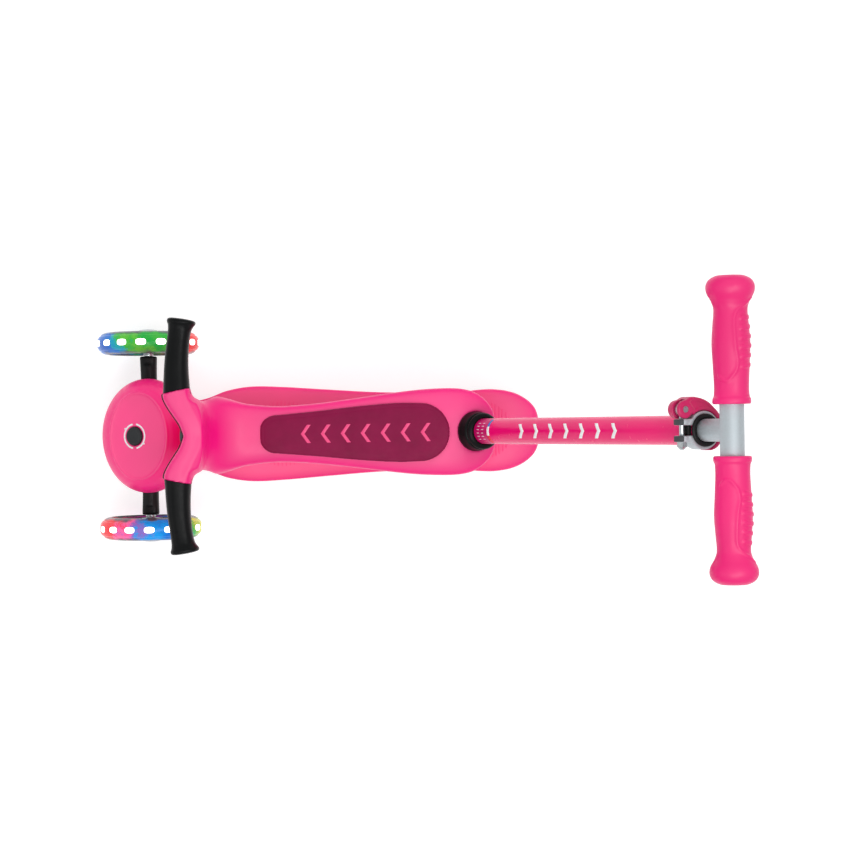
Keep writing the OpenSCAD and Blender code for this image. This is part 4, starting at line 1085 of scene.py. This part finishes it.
def lamp_windows(side, phase):
    """Rounded lens over each lamp, a little proud of the tread; phase is the first one's angle."""
    lenses = []
    for i in range(LIGHTS):
        middle_angle = math.radians(phase + i * 360 / LIGHTS)
        rings = []
        for share, lift in ((1.0, -0.5), (1.0, 0.1), (0.95, 0.24), (0.78, 0.34), (0.4, 0.4), (0.05, 0.42)):
            loop = ring((0, 0, 0), (WINDOW_LONG * share, 0, 0), (0, WINDOW_WIDE * share, 0), 3, 28)
            angle = middle_angle + loop[:, 0] / WHEEL_R
            w = loop[:, 1]
            r = WHEEL_R - FRONT_CROWN + FRONT_CROWN * np.sqrt(1 - (w / (WHEEL_W / 2)) ** 2)
            r = r + lift - WINDOW_LIFT
            rings.append(at_wheel(side)(np.stack([r * np.cos(angle), r * np.sin(angle), w], 1)))
        lenses.append(loft(rings))
    return together(lenses)


def polar_spokes(u, v, count, half):
    """Distance to spokes of the given half width about an axis, in the wheel's plane."""
    angle = np.arctan2(v, u)
    turn = 2 * math.pi / count
    fold = (angle + turn / 2) % turn - turn / 2
    return np.hypot(u, v) * np.abs(np.sin(fold)) - half


def front_core_field(side):
    """A front wheel's core: a rim, five spokes, and a hub with seats for its two bearings."""
    def field(x, y, z):
        u, v, w = x - WHEEL_X, z - WHEEL_Z, side * y - TRACK_HALF
        radius = np.hypot(u, v)
        rim = common(slab(radius, RIM_IN, RIM_OUT), np.abs(w) - 10, 0.8)
        hub = common(radius - HUB_R, np.abs(w) - 11, 1)
        dish = 5.5 + 2.0 * np.clip(radius / 42, 0, 1)
        spokes = np.maximum(common(polar_spokes(u, v, 5, 4.6), np.abs(w) - dish, 2), slab(radius, 10, 42))
        ring_step = common(slab(radius, 14, 18), np.abs(w) - 7, 1)
        body = join(join(rim, spokes, 5), join(hub, ring_step, 2), 4)
        body = cut(body, radius - BORE_R, 0.3)
        return cut(body, np.maximum(radius - BEARING_R, 4 - np.abs(w)), 0.4)
    return field


def wheel(side, name, colours, phase):
    """A front wheel: its tyre, lamps, core and cap."""
    body = f"{name}_wheel"
    centre = (WHEEL_X, side * TRACK_HALF, WHEEL_Z)
    tyre = glowing_tyre(f"{name}_glow", centre, colours)
    piece(f"{name}_tyre_clear", front_tyre_shape(side), body, "clear_tyre", [f"{name}_tyre"], tyre)
    piece(f"{name}_lamp_windows", lamp_windows(side, phase), body, "lights", [f"{name}_lights"])
    low, high = np.array(centre) - (46, 12, 46), np.array(centre) + (46, 12, 46)
    moulded(f"{name}_wheel_core", front_core_field(side), low, high, 1.0,
            body, "dark_core", [f"{name}_core"])
    piece(f"{name}_chrome_cap", turned(CAP, at_wheel(side), 72), body, "steel", [f"{name}_hub_cap"])


wheel(1, "left", LEFT_COLOURS, 6)
wheel(-1, "right", RIGHT_COLOURS, 0)


def at_rear(p):
    return np.stack([REAR_X + p[:, 0], p[:, 2], REAR_Z + p[:, 1]], 1)


def rear_tyre_shape():
    half = REAR_W / 2
    rows = tread(REAR_R, REAR_W, 8, (-9, -4.5, 0, 4.5, 9), 90)
    bead = [(31.8, half - 0.1), (30.2, half - 0.5), (29.2, half - 1.5), (29.1, half - 2.5)]
    return tyre_shape(rows, bead, at_rear, 160)


def rear_core_field(x, y, z):
    u, v, w = x - REAR_X, z - REAR_Z, np.abs(y)
    radius = np.hypot(u, v)
    rim = common(slab(radius, REAR_RIM_IN, REAR_RIM_OUT), w - REAR_W / 2 + 2, 0.8)
    hub = common(radius - REAR_HUB_R, w - REAR_W / 2, 1)
    spokes = np.maximum(common(polar_spokes(u, v, 6, 2.2), w - 13, 1.2), slab(radius, 10, 26))
    body = join(join(rim, spokes, 3), hub, 3)
    body = cut(body, radius - REAR_BORE_R, 0.3)
    return cut(body, np.maximum(radius - BEARING_R, REAR_W / 2 - 7 - w), 0.4)


piece("rear_tyre_rubber", rear_tyre_shape(), "rear_wheel", "black_tyre", ["rear_tyre"])
moulded("rear_wheel_core", rear_core_field, (REAR_X - 30, -19, REAR_Z - 30), (REAR_X + 30, 19, REAR_Z + 30),
        1.0, "rear_wheel", "nylon", ["rear_core"])

# ---------------------------------------------------------------- rear brake

# [x, half width, top, skirt's lower edge]
BRAKE = [
    [-177, 12, 74, 68], [-174, 22, 79, 63], [-168, 31, 85, 59], [-156, 40, 91, 57],
    [-142, 45.5, 94.5, 58], [-124, 48.2, 95, 61], [-108, 48, 92, 64], [-92.5, 46.6, 88, 66],
]
BRAKE_POWER = 3.6
# the ears that hold the brake's pin: their distance from the middle, half thickness, radius
EAR_Y, EAR_HALF, EAR_R = 18, 3, 5.5


def brake_field(x, y, z):
    body = lofted(BRAKE, BRAKE_POWER, 4, x, y, z)
    body = cut(body, np.maximum(under(BRAKE, BRAKE_POWER, x, y, z), BRAKE[0][0] + 6 - x), 1)
    radius = np.hypot(x - BRAKE_PIVOT[0], z - BRAKE_PIVOT[2])
    neck = np.maximum(np.abs(x - BRAKE_PIVOT[0]) - 4, slab(z, BRAKE_PIVOT[2], 85))
    ears = np.maximum(np.minimum(radius - EAR_R, neck), np.abs(np.abs(y) - EAR_Y) - EAR_HALF)
    return cut(join(body, ears, 1.5), radius - 3.1, 0.2)


moulded("rear_brake_cover", brake_field, (-178, -50, 56), (-91, 50, 97), 1.1,
        "brake", "pink_deck", ["rear_brake"])
piece("brake_grip_ribs", rib_patch(BRAKE, BRAKE_POWER, BRAKE_RIBS, 1.9, 0.7, 10), "brake", "pink_deck")

# ---------------------------------------------------------------- push bar

# heights along the push bar
CLAMP_Z, TUBE_TOP, TUBE_FOOT, LABEL_Z, BANDS_Z = -47, -40, -542, -414.0, -399.0
# (radius, height) of the collar where the bar enters the seat
COLLAR = [
    (14.1, 0.1), (COLLAR_R - 0.4, 0.1), (COLLAR_R, 0.6), (22, 4.6), (21.7, 5.4), (21.2, 9.5), (20.9, 12.6),
    (20.6, 14), (20.0, 14.8), (19.3, 15.0), (18.9, 15.3), (18.8, 16.2), (19.0, 16.9), (19.7, 17.4),
    (20.1, 18.2), (20.1, 19.1), (19.6, 20.2), (18.6, 21.1), (17.2, 21.8), (15.6, 22.2), (14.5, 22.0),
    (14.1, 21.4),
]
# (name, colour, first angle, last angle) of the bands over the label
BANDS = (("blue", "1173bd", -62, -21), ("white", "f4f4f4", -21, 19), ("red", "e2232f", 19, 60))


def round_tube(angles, heights, width, proud):
    """A flat print on the tube, through angles in degrees from its front line; its width is upright."""
    turn = np.radians(angles)
    path = on_bar(np.stack([TUBE_R * np.cos(turn), TUBE_R * np.sin(turn), heights], 1))
    normal = path - on_bar(np.stack([0 * heights, 0 * heights, heights], 1))
    normal /= np.linalg.norm(normal, axis=1)[:, None]
    return strip(path, on_bar([0, 0, 1]) - on_bar([0, 0, 0]), normal, width, proud)


def outer_tube_shape():
    inner = 12.3
    profile = [(inner, TUBE_FOOT), (TUBE_R - 0.5, TUBE_FOOT), (TUBE_R, TUBE_FOOT + 0.5)]
    profile += [(TUBE_R, h) for h in np.linspace(TUBE_FOOT + 6, TUBE_TOP - 6, 40)]
    profile += [(TUBE_R, TUBE_TOP - 0.5), (TUBE_R - 0.5, TUBE_TOP), (inner, TUBE_TOP)]
    return turned(profile, on_bar, 96, closed=True)


def tube_mark(height):
    """A chevron on the tube, its tips lower than its middle."""
    angles = np.linspace(-32, 32, 25)
    return round_tube(angles, height - 7 * np.abs(angles) / 32, 5.4, 0.15)


piece("bar_collar", turned(COLLAR, on_bar_at(COLLAR_BASE), 96, closed=True),
      "seat", "black_rubber", ["base_collar"])
piece("push_bar_tube", outer_tube_shape(), "push_bar", "pink_tube", ["outer_tube"])
label = round_tube(np.linspace(-80, 80, 33), np.full(33, LABEL_Z), 23, 0.1)
piece("label_ground", label, "push_bar", "pink_tube", paint=printed("label_magenta", "c30763", 0.3))
ticks = [
    round_tube(np.linspace(a - 1.8, a + 1.8, 4), np.full(4, h), 4.5, 0.18)
    for a in np.linspace(-38, 38, 6) for h in (LABEL_Z - 5.5, LABEL_Z + 3.5)
]
piece("label_ticks", together(ticks), "push_bar", "white_print", paint=printed("tick_ink", "f4c3d5"))
for name, code, start, end in BANDS:
    band = round_tube(np.linspace(start, end, 15), np.full(15, BANDS_Z), 4.6, 0.13)
    piece(f"band_{name}", band, "push_bar", "white_print", paint=printed(f"band_{name}", code, 0.3))
piece("tube_print", together([tube_mark(h) for h in np.linspace(-330, -162, 7)]),
      "push_bar", "white_print")

# ---------------------------------------------------------------- clamp and lever

# [angle clockwise from the tube's front line, outer radius] of the closed lever, and its inner radius
LEVER_OUT = [
    [52, 33.5], [63, 34.4], [80, 30.8], [103, 26.9], [122, 24.4], [180, 23.4], [223, 22.6], [247, 20.6],
]
LEVER_GAP = 18.4
# the clamp's bolt crosses its ears at BOLT_X; the lever turns about one end of it
BOLT_X, LEVER_Y = 21.0, -19.5
# the lever's underside and top; about its axis, its boss, the slot for the bolt's eye, and its hole
LEVER_LOW, LEVER_TOP = -11, 7
LEVER_BOSS_R, EYE_R, EYE_HALF, LEVER_HOLE_R = 8.5, 9.3, 3.3, 3.1
# the band's radius and half height, and where its ears begin and end
CLAMP_R, CLAMP_HALF, CLAMP_EAR_IN, CLAMP_EAR_OUT = 18, 7, 4.7, 10.7
# (radius, height) of the bush in the tube's top
BUSH = [
    (10.56, -35), (12.2, -35), (12.25, 0.1), (15, 0.1), (15.4, 0.5), (15.4, 2.2), (14.8, 2.9), (13, 3.0),
    (12.4, 2.6), (11.6, 2.4), (10.8, 2.0), (10.56, 1.2),
]


def polygon_distance(u, v, corners):
    """Signed distance to a closed outline in a plane, negative inside."""
    corners = np.asarray(corners, float)
    near = np.full(np.broadcast(u, v).shape, 1e9)
    inside = np.zeros(near.shape, bool)
    for (ax, ay), (bx, by) in zip(corners, np.roll(corners, -1, axis=0)):
        ex, ey = bx - ax, by - ay
        t = np.clip(((u - ax) * ex + (v - ay) * ey) / (ex * ex + ey * ey), 0, 1)
        near = np.minimum(near, np.hypot(u - ax - t * ex, v - ay - t * ey))
        spans = (ay > v) != (by > v)
        inside ^= spans & (u < ax + (v - ay) * ex / (ey if ey else 1e-9))
    return np.where(inside, -near, near)


def lever_outline():
    """The lever's outline: its outer curve, then back along the tube's side and round the clamp's bolt."""
    axis = np.array([BOLT_X, LEVER_Y])
    turn = np.linspace(LEVER_OUT[0][0], LEVER_OUT[-1][0], 60)
    outer = read(LEVER_OUT, turn)[0]
    rays = np.stack([np.cos(np.radians(turn)), -np.sin(np.radians(turn))], 1)
    across = rays @ axis
    reach = np.linalg.norm(axis) + LEVER_GAP
    beyond = across + np.sqrt(across**2 - axis @ axis + reach**2)
    inner = np.where(turn < LEVER_OUT[-2][0], LEVER_GAP, beyond)
    return np.concatenate([rays * outer[:, None], (rays * inner[:, None])[::-1]])


def lever_field(x, y, z):
    """A thick crescent with a finger scoop, and the slot for the bolt's eye and shank."""
    flat = polygon_distance(x[:, :, 0], y[:, :, 0], lever_outline())[:, :, None]
    from_axis = np.hypot(x - BOLT_X, y - LEVER_Y)
    body = common(join(flat, from_axis - LEVER_BOSS_R, 3), slab(z, LEVER_LOW, LEVER_TOP), 2.4)
    body = cut(body, np.maximum(flat + 3.2, LEVER_TOP - 0.7 - z), 0.8)
    shank = np.maximum(slab(x, BOLT_X - 4, BOLT_X + 16), LEVER_Y - y)
    body = cut(body, np.maximum(np.minimum(from_axis - EYE_R, shank), np.abs(z) - EYE_HALF), 0.6)
    return cut(body, from_axis - LEVER_HOLE_R + 0 * z, 0.3)


def clamp_ring_field(x, y, z):
    """A band round the tube with two ears, split between them."""
    radius = np.hypot(x, y) + 0 * z
    body = common(radius - CLAMP_R, np.abs(z) - CLAMP_HALF, 1.0)
    ear = np.maximum(slab(x, 10, BOLT_X), np.abs(z) - CLAMP_HALF)
    ear = np.minimum(ear, np.hypot(x - BOLT_X, z) - CLAMP_HALF)
    for low, high in ((-CLAMP_EAR_OUT, -CLAMP_EAR_IN), (CLAMP_EAR_IN, CLAMP_EAR_OUT)):
        body = join(body, common(ear, slab(y, low, high), 1.2), 1.5)
    body = cut(body, radius - TUBE_R - 0.05, 0.4)
    body = cut(body, np.maximum(10 - x, np.abs(y) - CLAMP_EAR_IN) + 0 * z, 0.6)
    return cut(body, np.hypot(x - BOLT_X, z) - 2.7 + 0 * y, 0.3)


def ear_shade_field(x, y, z):
    """Dark grey shells over the two ears' rounded ends: painted shade, where those ends lie in shadow."""
    end = common(np.hypot(x - BOLT_X, z) - CLAMP_HALF - 0.4, BOLT_X + 2.4 - x, 0.6)
    return common(end, slab(np.abs(y), CLAMP_EAR_IN + 0.3, CLAMP_EAR_OUT - 0.3), 0.6)


def slot_filler_field(x, y, z):
    """The bush's ribbed tongue between the ears, behind the bolt."""
    low, high = (TUBE_R - 0.4, -4.3, -7.2), (17.9, 4.3, 5.6)
    return block(x, y, z, low, high, 0.7) + 0.3 * bell(np.abs(y) - 1.5, 0.5)


on_clamp = on_bar_at(CLAMP_Z)
moulded("quick_lever", lever_field, (-25, -36, -12), (38, 20, 8), 0.55,
        "lever", "berry_lever", ["clamp_lever"], place=on_clamp)
moulded("clamp_band", clamp_ring_field, (-19, -19, -8), (29, 19, 8), 0.6,
        "push_bar", "silver", ["clamp_ring"], place=on_clamp)
# dark grey shells on the ears' front ends: painted shade
moulded("clamp_ear_painted_shade", ear_shade_field, (20, -12, -9), (30, 12, 9), 0.5,
        "push_bar", "dark_rubber", place=on_clamp)
moulded("clamp_slot_tongue", slot_filler_field, (14, -6, -9), (19, 6, 7), 0.5,
        "push_bar", "black_plastic", place=on_clamp)
piece("tube_top_bush", turned(BUSH, on_bar_at(TUBE_TOP), 96, closed=True),
      "push_bar", "black_plastic", ["tube_bush"])

# ---------------------------------------------------------------- push bar grips

# [distance in from the outer end, radius]
BAR_GRIP = [
    [0, 13], [2, 17.4], [5, 20.6], [10, 22.35], [16, 21.4], [23, 17.6], [30, 15.5], [44, 16.4],
    [61, 17.5], [80, 16.7], [100, 15.8], [109, 16.2], [112, 17.4], [116.5, 17.4],
]
GRIP_LEN = BAR_GRIP[-1][0]
# the bar inside the grips
BAR_R = 11.25
# the raised line on each grip: [distance in from the outer end, angle from the top towards the front]
GRIP_LINE = [
    [21, -72], [25.3, -52], [32, -14], [38, -3], [47, -1.5], [65, -4.5], [78, -12], [86, -7], [91.5, 6],
    [94.5, 16], [95.4, 27], [94.2, 38], [91, 52],
]
# the finger ribs: how many, the first one's place, their pitch, the angle they lie about, and how they slant
RIBS, FIRST_RIB, RIB_PITCH, RIB_ANGLE, RIB_SLANT = 6, 38.5, 8.7, -49, 0.12
# a rib's half length and radius; the raised line's height and half width
RIB_REACH, RIB_R, LINE_HEIGHT, LINE_R = 9.5, 2.4, 0.9, 1.5
# the grip's mean radius, for arcs
ARC_R = 16.5


def smooth_line(points, count):
    """A smooth curve through points on the grip, as evenly spaced points."""
    points = np.array(points, float)
    reach = np.concatenate([[0], np.cumsum(np.hypot(*np.diff(points * (1, 0.28), axis=0).T))])
    return np.stack(read(np.column_stack([reach, points]), np.linspace(0, reach[-1], count)), 1)


RAISED_LINE = smooth_line(GRIP_LINE, 240)


def grip_relief(depth, angle):
    """Height of the raised line and the finger ribs at a depth, in millimetres, and angles, in degrees."""
    arc = math.radians(1) * ARC_R
    near = np.full(angle.shape, 1e9)
    for d, a in RAISED_LINE:
        near = np.minimum(near, np.hypot(depth - d, (angle - a) * arc))
    relief = LINE_HEIGHT * bell(near, LINE_R)
    off = (angle - RIB_ANGLE) * arc
    for k in range(RIBS):
        rib_depth = FIRST_RIB + RIB_PITCH * k
        # the outermost ribs are a little shorter
        reach = RIB_REACH - 0.5 * abs(k - (RIBS - 1) / 2)
        run = np.hypot(np.maximum(np.abs(off) - reach + RIB_R, 0), depth - rib_depth - RIB_SLANT * off)
        relief = np.maximum(relief, np.clip(1.25 - (run / RIB_R) ** 2, 0, 1))
    return relief


def bar_grip(side, name):
    """A grip of the push bar, from the middle of its outer end to its inner end round the bar."""
    count = 160
    angle = 360 * np.arange(count) / count
    angle = np.where(angle > 180, angle - 360, angle)
    out = np.stack([np.sin(np.radians(angle)), 0 * angle, np.cos(np.radians(angle))], 1)
    rings = []

    def hoop(depth, radius):
        centre = np.array([BAR_X, side * (BAR_END - depth), BAR_Z])
        rings.append(centre + out * np.reshape(radius, (-1, 1)))

    for radius, depth in ((0.3, 0), (4, 0), (8.5, 0.05), (9.3, 0.4), (10.2, 0.35), (11.5, 0)):
        hoop(depth, radius)
    depths = [
        [0, 0.4, 1, 1.8], np.linspace(2.8, 20, 16), np.linspace(21, 99, 130), np.linspace(100, 108, 7),
        np.linspace(108.8, 112.6, 9), [114, 115.2, 116, 116.4],
    ]
    for depth in np.concatenate(depths):
        radius = read(BAR_GRIP, depth)[0] - 0.9 * np.clip((depth - 115.2) / 1.2, 0, 1) ** 2
        relief = grip_relief(depth, angle) if 16 < depth < 102 else 0
        hoop(depth, np.full(count, radius) + relief)
    for radius, depth in ((14, GRIP_LEN), (BAR_R, GRIP_LEN - 0.1), (BAR_R, GRIP_LEN - 6)):
        hoop(depth, radius)
    piece(f"{name}_bar_grip_rubber", loft(rings), "stem", "pink_grip", [f"{name}_bar_grip"])


for side, name in SIDES:
    bar_grip(side, name)

# ---------------------------------------------------------------- CAD nodes that stay

for name, node in frame["nodes"].items():
    if node.hide_render:
        continue
    node.data.materials.clear()
    node.data.materials.append(paints[slot_of[name]])
    merge = node.modifiers.new("merge", "WELD")
    merge.merge_threshold = 0.01 * MM
    soften = node.modifiers.new("soften", "BEVEL")
    soften.width = 0.25 * MM
    soften.segments = 2
    soften.limit_method = "ANGLE"
    soften.angle_limit = math.radians(40)
